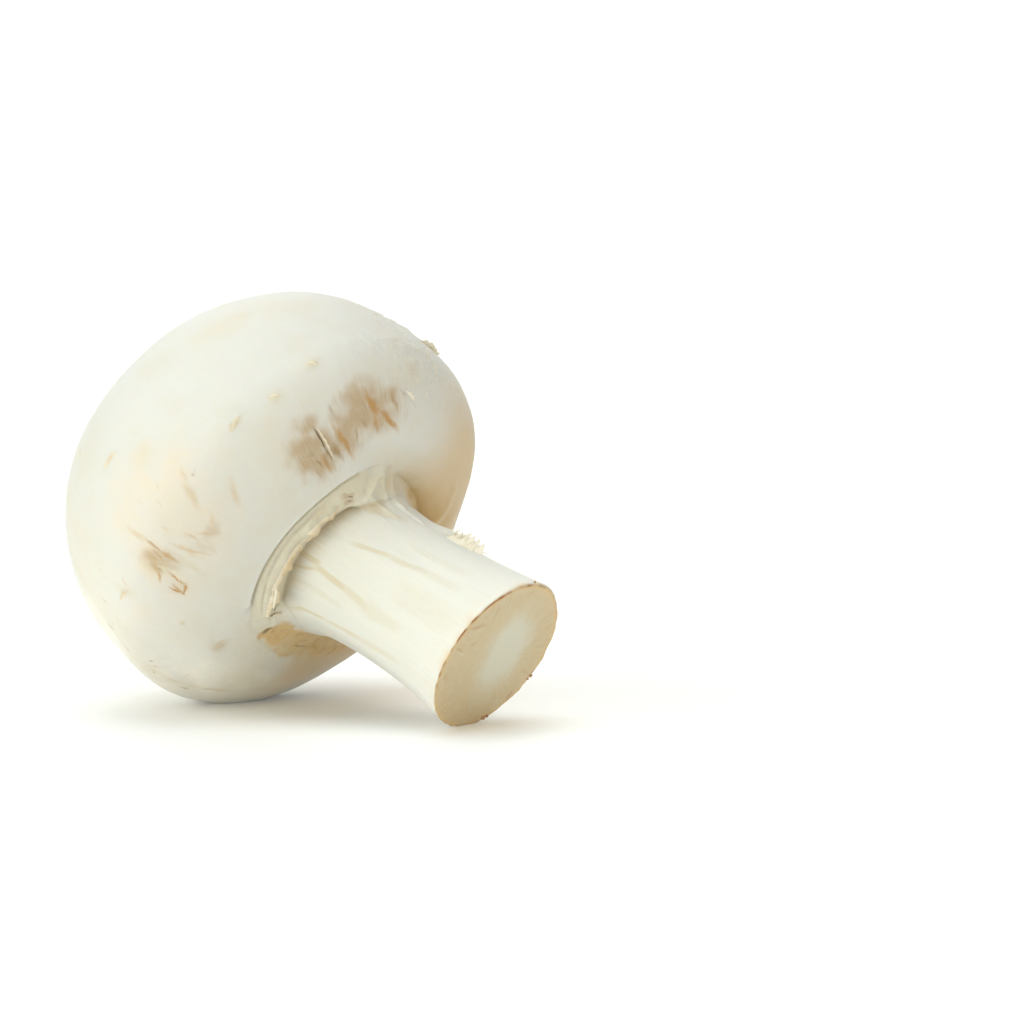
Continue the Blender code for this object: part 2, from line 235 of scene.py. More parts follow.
# Small scabs and bumps: as the soft patches above, with a height in place of the strength.
SCABS = (
    (23, 40.8, 0.9, 0.5, 0.2, 20), (37, 42.1, 0.7, 0.5, 0.2), (49.5, 41.6, 1.1, 0.4, 0.14, 10),
    (80, 31.3, 1.2, 0.4, 0.12, 5), (36.2, 49.7, 0.5, 0.6, 0.12), (106.4, 40.9, 0.5, 1.4, 0.12, 10),
    (113, 47.8, 0.4, 0.4, 0.12), (-29, 34.1, 1.2, 0.5, 0.22), (94, 44.3, 1.6, 1.6, 0.08),
    (-9.4, 43.9, 0.8, 0.8, 0.1),
)
# Painted shade: where the hollow on the far side is darkened to tan: as the soft patches above.
HOLLOW_SHADE_PATCHES = (
    (-8, 58.6, 2.6, 2, 0.3), (-16, 60, 2, 1.6, 0.4), (-25, 57.6, 4, 1.8, 0.45), (-44, 58.2, 3, 1.8, 0.8),
    (-54, 57.6, 2.6, 1.8, 1), (-66, 57.2, 3, 2, 1), (-76, 54.6, 1.4, 3, 0.7), (-84, 57, 3, 2.5, 0.8),
)
# Painted light: where the underside and lower left are made palest, as light from below would: as the soft
# patches above.
UNDERSIDE_LIGHT_PATCHES = (
    (136, 36, 8, 6, 0.8), (146, 42, 6, 6, 0.9), (152, 34, 9, 7, 1), (180, 30, 10, 8, 0.8),
    (149, 47.5, 8, 3.6, 1), (168, 50, 9, 3.6, 1),
)
# Where the skin is rough and scaly: as the soft patches above.
ROUGH_PATCHES = (
    (-17, 42, 7, 6, 1), (2, 41, 6, 3, 0.5), (30, 50, 4, 4, 0.5), (-30, 34, 7, 5, 0.8),
    (80, 44, 6, 5, 0.4), (96, 44, 5, 4, 0.6), (140, 44, 8, 4, 0.5),
)
# The torn patch under the stem: as the soft patches above.
TORN_PATCHES = (
    (150, 58.4, 3.2, 1.9, 1), (165, 58.6, 4, 2.2, 1), (182, 58.6, 4, 2.2, 0.9), (138.5, 57.4, 1.3, 1, 1),
    (200, 57.6, 4, 2.4, 0.8), (215, 56, 3.5, 2.4, 0.6),
)

# ---- View -----------------------------------------------
VIEW_AZIMUTH, VIEW_ELEVATION = 39.7, 5.9
VIEW_DISTANCE = 0.60
VIEW_LENS = 184.2
VIEW_CENTRE_HEIGHT = 0.023
VIEW_ASIDE, VIEW_DROP = 0.02189, 0.00020     # the mushroom stands left of the middle

# ---- Light ----------------------------------------------
SUN_SPREAD = 50.0
# Name, azimuth from the camera's, elevation, strength, colour.
LIGHTS = (
    ("front_left", -44.0, 5.0, 1.85, (1.0, 1.0, 0.84)),
    ("side_left", -90.0, 22.0, 0.98, (1.0, 0.98, 0.90)),
    ("left_high", -60.0, 50.0, 0.50, (0.78, 0.9, 1.0)),
    ("front_right", 26.0, 5.0, 0.72, (1.0, 0.88, 0.62)),
    ("top", 0.0, 89.0, 1.20, (0.86, 0.95, 1.0)),
    ("back_high", 180.0, 50.0, 0.90, (1.0, 0.94, 0.82)),
    ("back_low", 180.0, 6.0, 0.75, (0.92, 1.0, 1.0)),
    ("right_high", 64.0, 48.0, 0.85, (1.0, 0.95, 0.85)),
)
WORLD_COLOUR, WORLD_STRENGTH = (1.0, 0.97, 0.90), 0.03
FLOOR_COLOUR = (0.93, 0.93, 0.93)
FLOOR_GLOW, FLOOR_GLOW_COLOUR = 0.055, (1.0, 0.99, 0.96)
FLOOR_HALF = 60.0


def axes(dip, yaw):
    dip, yaw = np.radians(dip), np.radians(yaw)
    along = np.array([np.cos(dip) * np.cos(yaw), np.cos(dip) * np.sin(yaw), -np.sin(dip)])
    up = np.array([0.0, 0.0, 1.0]) - along[2] * along
    up /= np.linalg.norm(up)
    return along, up, np.cross(along, up)


CAP_AXES = axes(CAP_DIP, CAP_YAW)
STEM_AXES = axes(STEM_DIP, STEM_YAW)
STEM_BASE = STEM_START * CAP_AXES[0] + STEM_UP * CAP_AXES[1] + STEM_NEAR * CAP_AXES[2]
TURN = np.arange(ROUND) * 360.0 / ROUND


def ring(frame_axes, centre, along, radius):
    axis, up, near = frame_axes
    turn = np.radians(TURN)[:, None]
    out = np.cos(turn) * up + np.sin(turn) * near
    along = np.broadcast_to(along, (ROUND,))[:, None]
    radius = np.broadcast_to(radius, (ROUND,))[:, None]
    return centre + along * axis + radius * out


def off_angle(centre):
    return (TURN - centre + 180.0) % 360.0 - 180.0


def window(centre, half):
    share = np.clip(np.abs(off_angle(centre)) / half, 0.0, 1.0)
    return np.cos(share * np.pi / 2) ** 2


def stretch(start, end, fade):
    half = (end - start) / 2
    past = np.clip((np.abs(off_angle(start + half)) - half) / fade, 0.0, 1.0)
    return np.cos(past * np.pi / 2) ** 2


def creased():
    """1 where a crevice parts the margin from the veil, 0 where the skin runs on smoothly."""
    return stretch(SMOOTH_LIP_FROM, SMOOTH_LIP_TO, SMOOTH_FADE)


def wave(count, angle):
    return np.cos(np.radians(count * (TURN - angle)))


def margin_radius():
    flares = sum(height * window(angle, half) for angle, half, height in MARGIN_FLARES)
    return MARGIN_RADIUS + flares


def skin_height(path_share, along, radius):
    height = 0.12 * wave(3, 35.0) * np.sin(np.pi * path_share)
    for angle, share, half, lump in SKIN_LUMPS:
        across = np.radians(off_angle(angle)) * radius
        away = (path_share - share) * (DOME_HEIGHT + CAP_RADIUS)
        height = height + lump * np.exp(-(across ** 2 + away ** 2) / half ** 2)
    return height


# The part's source counts its cap rings from 1 to 26, 17 of them on the dome, and sets
# its lumps by that count, so the finer rings are given the same shares of the way.
DOME_SHARE = 17 / 26


def cap_rings():
    points = []
    for share in np.linspace(0.0, 1.0, RINGS_DOME + 1)[1:]:
        turn = np.radians(90.0 * share)
        along = -DOME_HEIGHT * np.cos(turn) ** (2 / DOME_POWER)
        radius = CAP_RADIUS * np.sin(turn) ** (2 / DOME_POWER)
        swell = 1 + skin_height(share * DOME_SHARE, along, radius) / CAP_RADIUS
        points.append(ring(CAP_AXES, 0.0, along * swell, radius * swell))
    last = np.arcsin((margin_radius() / CAP_RADIUS) ** (UNDER_POWER / 2))
    for share in np.linspace(0.0, 1.0, RINGS_UNDER + 1)[1:]:
        turn = np.pi / 2 - share * (np.pi / 2 - last)
        along = UNDER_DEPTH * np.cos(turn) ** (2 / UNDER_POWER)
        radius = CAP_RADIUS * np.sin(turn) ** (2 / UNDER_POWER)
        path_share = DOME_SHARE + share * (1 - DOME_SHARE)
        swell = 1 + skin_height(path_share, along, radius) / CAP_RADIUS
        points.append(ring(CAP_AXES, 0.0, along * swell, radius * swell))
    return points


def crevice_rings():
    deep = CREVICE_DEPTH * stretch(CREVICE_FROM, CREVICE_TO, CREVICE_FADE)
    edge = margin_radius()
    level = UNDER_DEPTH * (1 - (edge / CAP_RADIUS) ** UNDER_POWER) ** (1 / UNDER_POWER)
    angle, half, height = LIP_RIDGE
    steps = (
        (0.45, LIP_RISE + height * window(angle, half)),
        (0.80, 0.05 - 0.15 * deep),
        (1.00, 0.10 - deep),
        (1.25, 0.15 - 0.1 * deep),
    )
    return [ring(CAP_AXES, 0.0, level + rise, edge - step * LIP_WIDTH) for step, rise in steps]


def stem_radius(along):
    share = along / STEM_LENGTH
    waist = 4 * WAIST_RADIUS * share * (1 - share)
    return NECK_RADIUS * (1 - share) * (1 - 2 * share) + waist + END_RADIUS * share * (2 * share - 1)


def stem_surface(along):
    share = np.clip(along / STEM_LENGTH, 0.0, 1.0)
    radius = stem_radius(along)
    for count, height, angle in RIDGES:
        radius = radius + height * wave(count, angle + 6.0 * share) * np.sin(np.pi * share) ** 0.5
    angle, place, half, height = STEM_TUFT
    away = (np.radians(off_angle(angle)) * WAIST_RADIUS) ** 2 + ((along - place) / 1.6) ** 2
    radius = radius + height * np.exp(-away / half ** 2)
    return ring(STEM_AXES, STEM_BASE, along, radius)


def pocket():
    half = (POCKET_TO - POCKET_FROM) / 2
    away = off_angle(POCKET_FROM + half)
    fade = np.where(away > 0.0, POCKET_NEAR_FADE, POCKET_FADE)
    past = np.clip((np.abs(away) - half) / fade, 0.0, 1.0)
    return np.cos(past * np.pi / 2) ** 2


def stem_at_depth(depth):
    along = depth - STEM_START
    for _ in range(4):
        reached = stem_surface(along) @ CAP_AXES[0]
        along = along + (depth - reached) / (STEM_AXES[0] @ CAP_AXES[0])
    return along, stem_surface(along)


def rags():
    """Small uneven rags round the veil's free edge, from -1 to 1."""
    broad = [noise.noise(Vector((angle * 0.22, 3.0, 0.0))) for angle in TURN]
    fine = [noise.noise(Vector((angle * 0.6, 9.0, 0.0))) for angle in TURN]
    return np.array(broad) + 0.6 * np.array(fine)


def veil_edge():
    free = stretch(FREE_FROM, FREE_TO, FREE_FADE)
    ragged = VEIL_RAG * (0.6 * wave(11, 20.0) + 0.5 * wave(17, 55.0) + 0.4 * wave(29, 5.0))
    ragged = ragged + FINE_RAG * rags() + EDGE_RETREAT * window(EDGE_RETREAT_AT, 18.0)
    start, foot = stem_at_depth(VEIL_INNER_DEPTH - VEIL_TUCK * free - POCKET_DEPTH * pocket())
    hanging = ring(CAP_AXES, 0.0, VEIL_INNER_DEPTH + 0.6 * ragged, VEIL_INNER_RADIUS + ragged)
    outward = ring(STEM_AXES, 0.0, 0.0, 1.0)
    close = foot + VEIL_CLOSE * (outward + CAP_AXES[0])
    crest = close + free[:, None] * (hanging - close)
    return start, crest, foot


def veil_rings(outer, crest):
    sunk = 0.5 * POCKET_DEPTH * pocket()
    torn = TORN_DEPTH * stretch(TORN_FROM, TORN_TO, TORN_FADE)
    rings = []
    for share in np.linspace(0.0, 1.0, RINGS_VEIL + 1)[1:-1]:
        arch = np.sin(np.pi * share)
        rise = (VEIL_BULGE - sunk - torn) * arch
        rings.append(outer + share * (crest - outer) + rise[:, None] * CAP_AXES[0])
    return rings


def cut_level(radius):
    return STEM_LENGTH + CUT_TILT * radius * np.cos(np.radians(TURN - CUT_TILT_TOWARD))


def stem_rings(start):
    end = cut_level(END_RADIUS) - CUT_EDGE
    shares = np.linspace(0.0, 1.0, RINGS_STEM + 1)[1:] ** 1.25
    return [stem_surface(start + share * (end - start)) for share in shares]


def cut_rings():
    rings = [ring(STEM_AXES, STEM_BASE, cut_level(END_RADIUS), END_RADIUS - 0.6 * CUT_EDGE)]
    for share in np.linspace(1.0, 0.0, RINGS_CUT + 1)[1:-1]:
        radius = share * END_RADIUS
        dish = CUT_DISH * (1 - share ** 2)
        rings.append(ring(STEM_AXES, STEM_BASE, cut_level(radius) - dish, radius))
    return rings


def through(rails, split):
    """Rings on a smooth curve through the rails, split to each gap between two of them."""
    rings = []
    for i in range(1, len(rails) - 2):
        a, b, c, d = rails[i - 1:i + 3]
        for step in range(split):
            t = step / split
            rings.append(0.5 * (2 * b + (c - a) * t + (2 * a - 5 * b + 4 * c - d) * t ** 2
                                + (3 * b - a - 3 * c + d) * t ** 3))
    return rings


# ---- Fields over the surface: one value for each point of each ring ----

class Surface:
    """The body's points as a grid of rings by turns, with what is measured on it."""

    def __init__(self):
        cap = cap_rings()
        crevice = crevice_rings()
        start, crest, foot = veil_edge()
        veil = veil_rings(crevice[-1], crest)
        stem = stem_rings(start)
        cut = cut_rings()
        lip = through([cap[-2], cap[-1]] + crevice + [veil[0], veil[1]], CREVICE_SPLIT)
        drop = through([veil[-1], crest, foot, stem[0]], DROP_SPLIT)
        rings = cap[:-1] + lip + veil + drop + [foot] + stem + cut
        self.grid = np.array(rings)
        self.cap_end = len(cap) - 1
        self.veil_start = self.cap_end + 4 * CREVICE_SPLIT
        self.crest = self.cap_end + len(lip) + len(veil)
        self.stem_start = self.crest + len(drop)
        self.cut_start = self.stem_start + 1 + len(stem)
        self.pole = -DOME_HEIGHT * CAP_AXES[0]
        self.heart = STEM_BASE + (STEM_LENGTH - CUT_DISH) * STEM_AXES[0]
        steps = np.linalg.norm(np.diff(self.grid, axis=0), axis=2).mean(axis=1)
        first = np.linalg.norm(self.grid[0] - self.pole, axis=1).mean()
        self.path = (first + np.concatenate([[0.0], np.cumsum(steps)]))[:, None]
        self.number = np.arange(len(rings))[:, None]
        self.turn = TURN[None, :]
        middle = self.grid.mean(axis=1, keepdims=True)
        self.radius = np.linalg.norm(self.grid - middle, axis=2).mean(axis=1)[:, None]
        self.shape = self.grid.shape[:2]
        self.reach = np.where(self.number < self.stem_start, CAP_GRAIN_RADIUS, STEM_GRAIN_RADIUS)
        self.soften_collar()
        self.wobble, self.fine = self.cloud(2.0, 21), self.cloud(0.9, 22)

    def soften_collar(self):
        """The skin runs smoothly past the margin and the stem's root where nothing parts them."""
        def rows(start, end, fade):
            inside = smooth_step(self.number, start - fade, start)
            return inside * (1 - smooth_step(self.number, end, end + fade))

        free = stretch(FREE_FROM, FREE_TO, FREE_FADE + 3.0)
        lip = rows(self.cap_end - 2, self.veil_start + 4, 8) * (1 - creased())
        root = rows(self.crest - 8, self.stem_start + 6, 6) * (1 - free)
        share = np.maximum(lip, root)[1:-1, :, None]
        for _ in range(SMOOTH_PASSES):
            grid = self.grid
            beside = (np.roll(grid, 1, axis=1) + np.roll(grid, -1, axis=1))[1:-1]
            near = (grid[:-2] + grid[2:] + beside) / 4
            grid[1:-1] += share * (near - grid[1:-1])

    def normals(self):
        down = np.gradient(self.grid, axis=0)
        wrapped = np.concatenate([self.grid[:, -1:], self.grid, self.grid[:, :1]], axis=1)
        round_ = (wrapped[:, 2:] - wrapped[:, :-2]) / 2
        normal = np.cross(round_, down)
        return normal / (np.linalg.norm(normal, axis=2, keepdims=True) + 1e-12)

    def spot(self, angle, path, across, along, lean=0.0):
        """A soft round spot, 1 in its middle; lean turns it, in degrees."""
        x = np.radians((self.turn - angle + 180.0) % 360.0 - 180.0) * np.maximum(self.radius, 3.0)
        y = np.broadcast_to(self.path - path, x.shape)
        c, s = math.cos(math.radians(lean)), math.sin(math.radians(lean))
        return np.exp(-((c * x + s * y) / across) ** 2 - ((c * y - s * x) / along) ** 2)

    def stroke(self, angle_a, path_a, angle_b, path_b, half):
        """A soft line from one place to another."""
        radius = float(np.interp((path_a + path_b) / 2, self.path[:, 0], self.radius[:, 0]))
        middle = (angle_a + angle_b) / 2
        x = np.radians((self.turn - middle + 180.0) % 360.0 - 180.0) * radius
        y = np.broadcast_to(self.path - path_a, (len(self.path), ROUND))
        x0 = math.radians(angle_a - middle) * radius
        dx, dy = math.radians(angle_b - angle_a) * radius, path_b - path_a
        t = np.clip(((x - x0) * dx + y * dy) / (dx * dx + dy * dy), 0.0, 1.0)
        away = (x - x0 - t * dx) ** 2 + (y - t * dy) ** 2
        return np.exp(-away / half ** 2)

    def spots(self, patches):
        """Each patch's strength or height, and its soft spot."""
        for angle, path, across, along, strength, *lean in patches:
            yield strength, self.spot(angle, path, across, along, *lean)

    def most(self, patches):
        """The strongest of several soft patches."""
        return np.max([strength * spot for strength, spot in self.spots(patches)], axis=0)

    def cloud(self, size, seed):
        """Even noise of features about size mm across, from -1 to 1."""
        shift = Vector((seed * 17.3, seed * 5.1, seed * 9.7))
        flat = self.grid.reshape(-1, 3) / size
        values = [noise.noise(Vector(p) + shift) for p in flat]
        return np.array(values).reshape(self.shape)

    def fibres(self, across, along, seed):
        """Noise drawn out along the path, from -1 to 1."""
        turn = np.radians(self.turn)
        x = self.reach / across * np.cos(turn) + seed * 13.7
        y = self.reach / across * np.sin(turn) + seed * 3.9
        z = np.broadcast_to(self.path / along, x.shape)
        values = [noise.noise(Vector(p)) for p in zip(x.ravel(), y.ravel(), z.ravel())]
        return np.array(values).reshape(x.shape)


def smooth_step(value, low, high):
    t = np.clip((value - low) / (high - low), 0.0, 1.0)
    return t * t * (3 - 2 * t)


def seam(s, half):
    """The shallow second crease, which parts a pale band from the rest of the veil."""
    widening = 0.9 * smooth_step(TURN, 70.0, 116.0)
    middle = s.path[s.veil_start] + 0.75 + widening + 0.2 * s.cloud(5.0, 13)
    return np.exp(-((s.path - middle) / half) ** 2) * stretch(46.0, 122.0, 12.0)


def skin_relief(s):
    on_cap = smooth_step(s.cap_end - s.number, 0, 6)
    height = 0.10 * s.cloud(7.0, 1) + 0.045 * s.cloud(2.8, 2) + 0.012 * s.cloud(0.9, 3)
    height += 0.06 * s.most(TAN_PATCHES) * s.fibres(0.9, 3.5, 4)
    height += 0.15 * s.most(ROUGH_PATCHES) * (s.cloud(1.2, 30) + np.abs(s.cloud(0.7, 31)))
    return on_cap * height


def veil_relief(s):
    on_veil = smooth_step(s.number, s.veil_start - 2, s.veil_start)
    on_veil = on_veil * (1 - smooth_step(s.number, s.crest - 1, s.crest + 2))
    height = on_veil * (0.035 * s.fibres(0.7, 2.5, 5) + 0.08 * s.cloud(1.8, 6) + 0.035 * s.cloud(0.7, 12))
    height -= 0.22 * seam(s, 0.30)
    for *line, lift in FOLDS:
        height += lift * s.stroke(*line)
    torn = np.clip(1.5 * s.most(TORN_PATCHES), 0, 1)
    return height - torn * (0.30 + 0.18 * s.cloud(1.3, 14) + 0.03 * s.fibres(0.6, 2.5, 15))


def stem_relief(s):
    on_stem = smooth_step(s.number - s.stem_start, 0, 8) * smooth_step(s.cut_start - s.number, 0, 3)
    return on_stem * (0.045 * s.fibres(1.7, 16.0, 7) + 0.012 * s.fibres(0.6, 8.0, 8) + 0.02 * s.cloud(2.5, 9))


def cut_relief(s):
    height = smooth_step(s.number - s.cut_start, 1, 3) * (0.08 * s.cloud(3.0, 10) + 0.04 * s.cloud(0.8, 11))
    at_rim = np.exp(-((s.path - s.path[s.cut_start]) / 0.4) ** 2)
    return height + at_rim * (0.10 * s.cloud(0.9, 33) + 0.08 * s.cloud(2.5, 34))


def relief(s):
    """Height of the fine relief, in mm, along the normal."""
    height = skin_relief(s) + veil_relief(s) + stem_relief(s) + cut_relief(s)
    for *line, half, strength in DARK_STROKES:
        height -= SLIT_DEPTH * strength * s.stroke(*line, max(half, SLIT_HALF_WIDTH))
    for lift, spot in s.spots(SCABS):
        height += lift * spot
    return height


def lay_down(points, is_stem):
    """As the part's source lays it: both touch the ground, which presses a flat spot."""
    low, high = -0.3, 0.3
    for _ in range(40):
        pitch = (low + high) / 2
        height = points[:, 2] * np.cos(pitch) - points[:, 0] * np.sin(pitch)
        if height[is_stem].min() - height[~is_stem].min() > FLAT_DEPTH - RIM_PRESS:
            low = pitch
        else:
            high = pitch
    return pitch, height.min() + FLAT_DEPTH


class Placing:
    """Takes points from the mushroom's own axes to where the CAD model lies."""

    def __init__(self, surface):
        flat = surface.grid.reshape(-1, 3)
        is_stem = np.broadcast_to(surface.number >= surface.stem_start, surface.shape).ravel()
        self.pitch, self.drop = lay_down(flat, is_stem)
        self.shift = np.zeros(2)
        placed = self(flat)
        low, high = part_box("button_mushroom")
        middle = (np.array(low)[:2] + np.array(high)[:2]) / 2 / MM
        self.shift = middle - (placed[:, :2].min(axis=0) + placed[:, :2].max(axis=0)) / 2

    def __call__(self, points):
        c, s = np.cos(self.pitch), np.sin(self.pitch)
        x = points[..., 0] * c + points[..., 2] * s
        z = points[..., 2] * c - points[..., 0] * s - self.drop
        return np.stack([x + self.shift[0], points[..., 1] + self.shift[1], np.maximum(z, 0.0)], axis=-1)


class Skin:
    """Finds places on the finished surface by angle and path."""

    def __init__(self, surface, points):
        self.points = points
        self.path = surface.path[:, 0]

    def at(self, angle, path, height=0.0):
        row = np.interp(path, self.path, np.arange(len(self.path)))
        column = angle / 360.0 * ROUND % ROUND
        r, c = min(int(row), len(self.path) - 2), int(column)
        u, v = row - r, column - c
        near, far = c % ROUND, (c + 1) % ROUND
        grid = self.points
        low = grid[r, near] * (1 - v) + grid[r, far] * v
        high = grid[r + 1, near] * (1 - v) + grid[r + 1, far] * v
        place = Vector(low * (1 - u) + high * u)
        if height:
            place += height * self.out(angle, path)
        return place

    def out(self, angle, path):
        across = self.at(angle + 1.2, path) - self.at(angle - 1.2, path)
        along = self.at(angle, path + 0.3) - self.at(angle, path - 0.3)
        return across.cross(along).normalized()


def body_mesh(surface, points, pole, heart):
    """The body's mesh, closed at the pole and at the heart of the cut."""
    count = len(points)
    points = np.vstack([points.reshape(-1, 3), pole[None], heart[None]])
    pole_index, heart_index = len(points) - 2, len(points) - 1
    faces = []
    last = (count - 1) * ROUND
    for i in range(ROUND):
        j = (i + 1) % ROUND
        faces.append((pole_index, j, i))
        faces.append((heart_index, last + i, last + j))
    first = np.arange(count - 1)[:, None] * ROUND
    i = np.arange(ROUND)[None, :]
    j = (i + 1) % ROUND
    quads = np.stack([first + i, first + j, first + ROUND + j, first + ROUND + i], axis=-1)
    faces += quads.reshape(-1, 4).tolist()
    mesh = bpy.data.meshes.new("mushroom_body")
    mesh.from_pydata((points * MM).tolist(), [], faces)
    return mesh


class Masks:
    """Values for each point, kept under a name for the material to read."""

    def __init__(self, mesh, shape):
        self.mesh, self.shape = mesh, shape

    def keep(self, name, values, at_pole=0.0, at_heart=0.0):
        values = np.broadcast_to(values, self.shape).ravel()
        layer = self.mesh.attributes.new(name, "FLOAT", "POINT")
        layer.data.foreach_set("value", np.concatenate([values, [at_pole, at_heart]]))

    def keep_share(self, name, values):
        self.keep(name, np.clip(values, 0, 1))

    def keep_grain(self, s):
        """Places for noise that is drawn out along the path."""
        turn = np.radians(s.turn)
        path = np.broadcast_to(s.path, s.shape)
        grain = np.stack([s.reach * np.cos(turn), s.reach * np.sin(turn), path], axis=-1)
        values = np.concatenate([grain.reshape(-1, 3), [(0, 0, 0)], [(0, 0, s.path[-1, 0])]])
        layer = self.mesh.attributes.new("grain", "FLOAT_VECTOR", "POINT")
        layer.data.foreach_set("vector", values.ravel())


def skin_masks(masks, s):
    masks.keep_share("tan", s.most(TAN_PATCHES) * (1.0 + 0.7 * s.wobble + 0.4 * s.fine))
    masks.keep_share("peach", s.most(PEACH_PATCHES) * (1.0 + 0.6 * s.wobble))
    cream = s.most(CREAM_PATCHES) + 0.35 * smooth_step(s.cloud(9.0, 23), 0.1, 0.6)
    masks.keep_share("cream", cream * (1.0 + 0.5 * s.wobble))
    masks.keep_share("rough", s.most(ROUGH_PATCHES))
    # Painted light: the underside and lower left made paler.
    masks.keep_share("pale", s.most(UNDERSIDE_LIGHT_PATCHES) * (1.0 + 0.3 * s.wobble))
    masks.keep("scab", np.max([spot for _, spot in s.spots(SCABS)], axis=0))
    # Painted reflection and shade: warm reflected light on the cap's right edge, and painted shade low on the
    # right by the stem.
    reflection_and_shade = stretch(-120.0, -52.0, 38.0) * smooth_step(s.path, 39.0, 48.0)
    reflection_and_shade = reflection_and_shade + 0.9 * stretch(186.0, 228.0, 20.0) * smooth_step(s.path, 46.0, 54.0)
    masks.keep("reflection_and_shade_tan", np.clip(reflection_and_shade, 0, 1) * (1 - smooth_step(s.path, 56.0, 62.0)))


def veil_masks(masks, s):
    veil = creased() * smooth_step(s.number, s.veil_start - 5, s.veil_start - 1)
    masks.keep("veil", veil + (1 - creased()) * smooth_step(s.path, 52.5, 59.0))
    # Painted shade: a dark grey line along the crevice between the margin and the veil, and a fainter one
    # along the seam.
    line = np.exp(-((s.number - s.cap_end - 2.9 * CREVICE_SPLIT) / 1.1) ** 2)
    line = 0.7 * line * stretch(CREVICE_FROM + 14.0, CREVICE_TO - 4.0, 8.0)
    line = line * (1 - 0.6 * smooth_step(s.turn, 92.0, 112.0) * (s.turn < 180.0))
    masks.keep_share("crease", (line + 0.40 * seam(s, 0.2)) * (0.8 + 1.3 * s.cloud(1.3, 25)))
    # Painted shade, tan-brown, in the hollow under the margin on the far side.
    hollow = np.clip(1.2 * s.most(HOLLOW_SHADE_PATCHES) * (1.0 + 0.4 * s.wobble), 0, 1)
    masks.keep("pocket", hollow * (1 - smooth_step(s.path, 58.8, 64.0)))
    torn = 1.5 * s.most(TORN_PATCHES) * (1 - smooth_step(s.number, s.stem_start, s.stem_start + 3))
    masks.keep_share("torn", torn * (1.0 + 0.5 * s.wobble + 0.3 * s.fine))


def stem_masks(masks, s):
    free = stretch(FREE_FROM - 2.0, FREE_TO, FREE_FADE)
    stem = free * smooth_step(s.number, s.crest + 1, s.crest + 3)
    stem = stem + (1 - free) * smooth_step(s.path + 0.8 * s.wobble, 57.0, 64.0)
    masks.keep("stem", stem, 0, 1)
    # Painted shade on the stem just under the veil's edge, broken along fibres.
    below_edge = np.maximum(s.path - s.path[s.crest] - 0.9, 0.0) / (1.2 + 0.9 * s.fibres(1.6, 9.0, 28))
    shade = np.exp(-below_edge) * (s.number > s.crest)
    masks.keep("collar_shade", shade * stretch(14.0, 112.0, 10.0))


def cut_masks(masks, s):
    masks.keep("cut", smooth_step(s.number, s.cut_start - 1, s.cut_start), 0, 1)
    share = np.zeros(s.shape)
    share[s.cut_start:] = np.linalg.norm(s.grid[s.cut_start:] - s.heart, axis=2) / END_RADIUS
    masks.keep("cut_share", share)
    near, up = share * np.sin(np.radians(s.turn)), share * np.cos(np.radians(s.turn))
    heart = np.exp(-((near + HEART_ASIDE) / HEART_WIDTH) ** 2 - (up / HEART_HEIGHT) ** 2)
    masks.keep("cut_heart", heart, 0, math.exp(-(HEART_ASIDE / HEART_WIDTH) ** 2))
    from_rim = np.clip(s.path - s.path[s.cut_start], -RIM_REACH, RIM_REACH)
    masks.keep("from_rim", from_rim, -RIM_REACH, RIM_REACH)
    upper = stretch(2.0, 98.0, 28.0)
    masks.keep("rim", (0.2 + 0.8 * upper) * np.clip(0.65 + 1.6 * s.cloud(1.1, 26), 0.1, 1.0))
    above_rim = np.exp(np.minimum(from_rim, 0.0) / 0.5) * (from_rim > -RIM_REACH)
    blotches = np.clip(0.35 + 1.3 * s.cloud(1.6, 27), 0.0, 1.0)
    masks.keep("rim_stain", above_rim * (0.3 + 0.7 * upper) * blotches)


# ---- Material helpers -----------------------------------

# A shader can hold only so many values at once, so its marks are worked out a few at a time.
MARKS_AT_ONCE = 12
NEXT_TO_NOTHING = 1e-9
MARK_DEPTH = 1.6


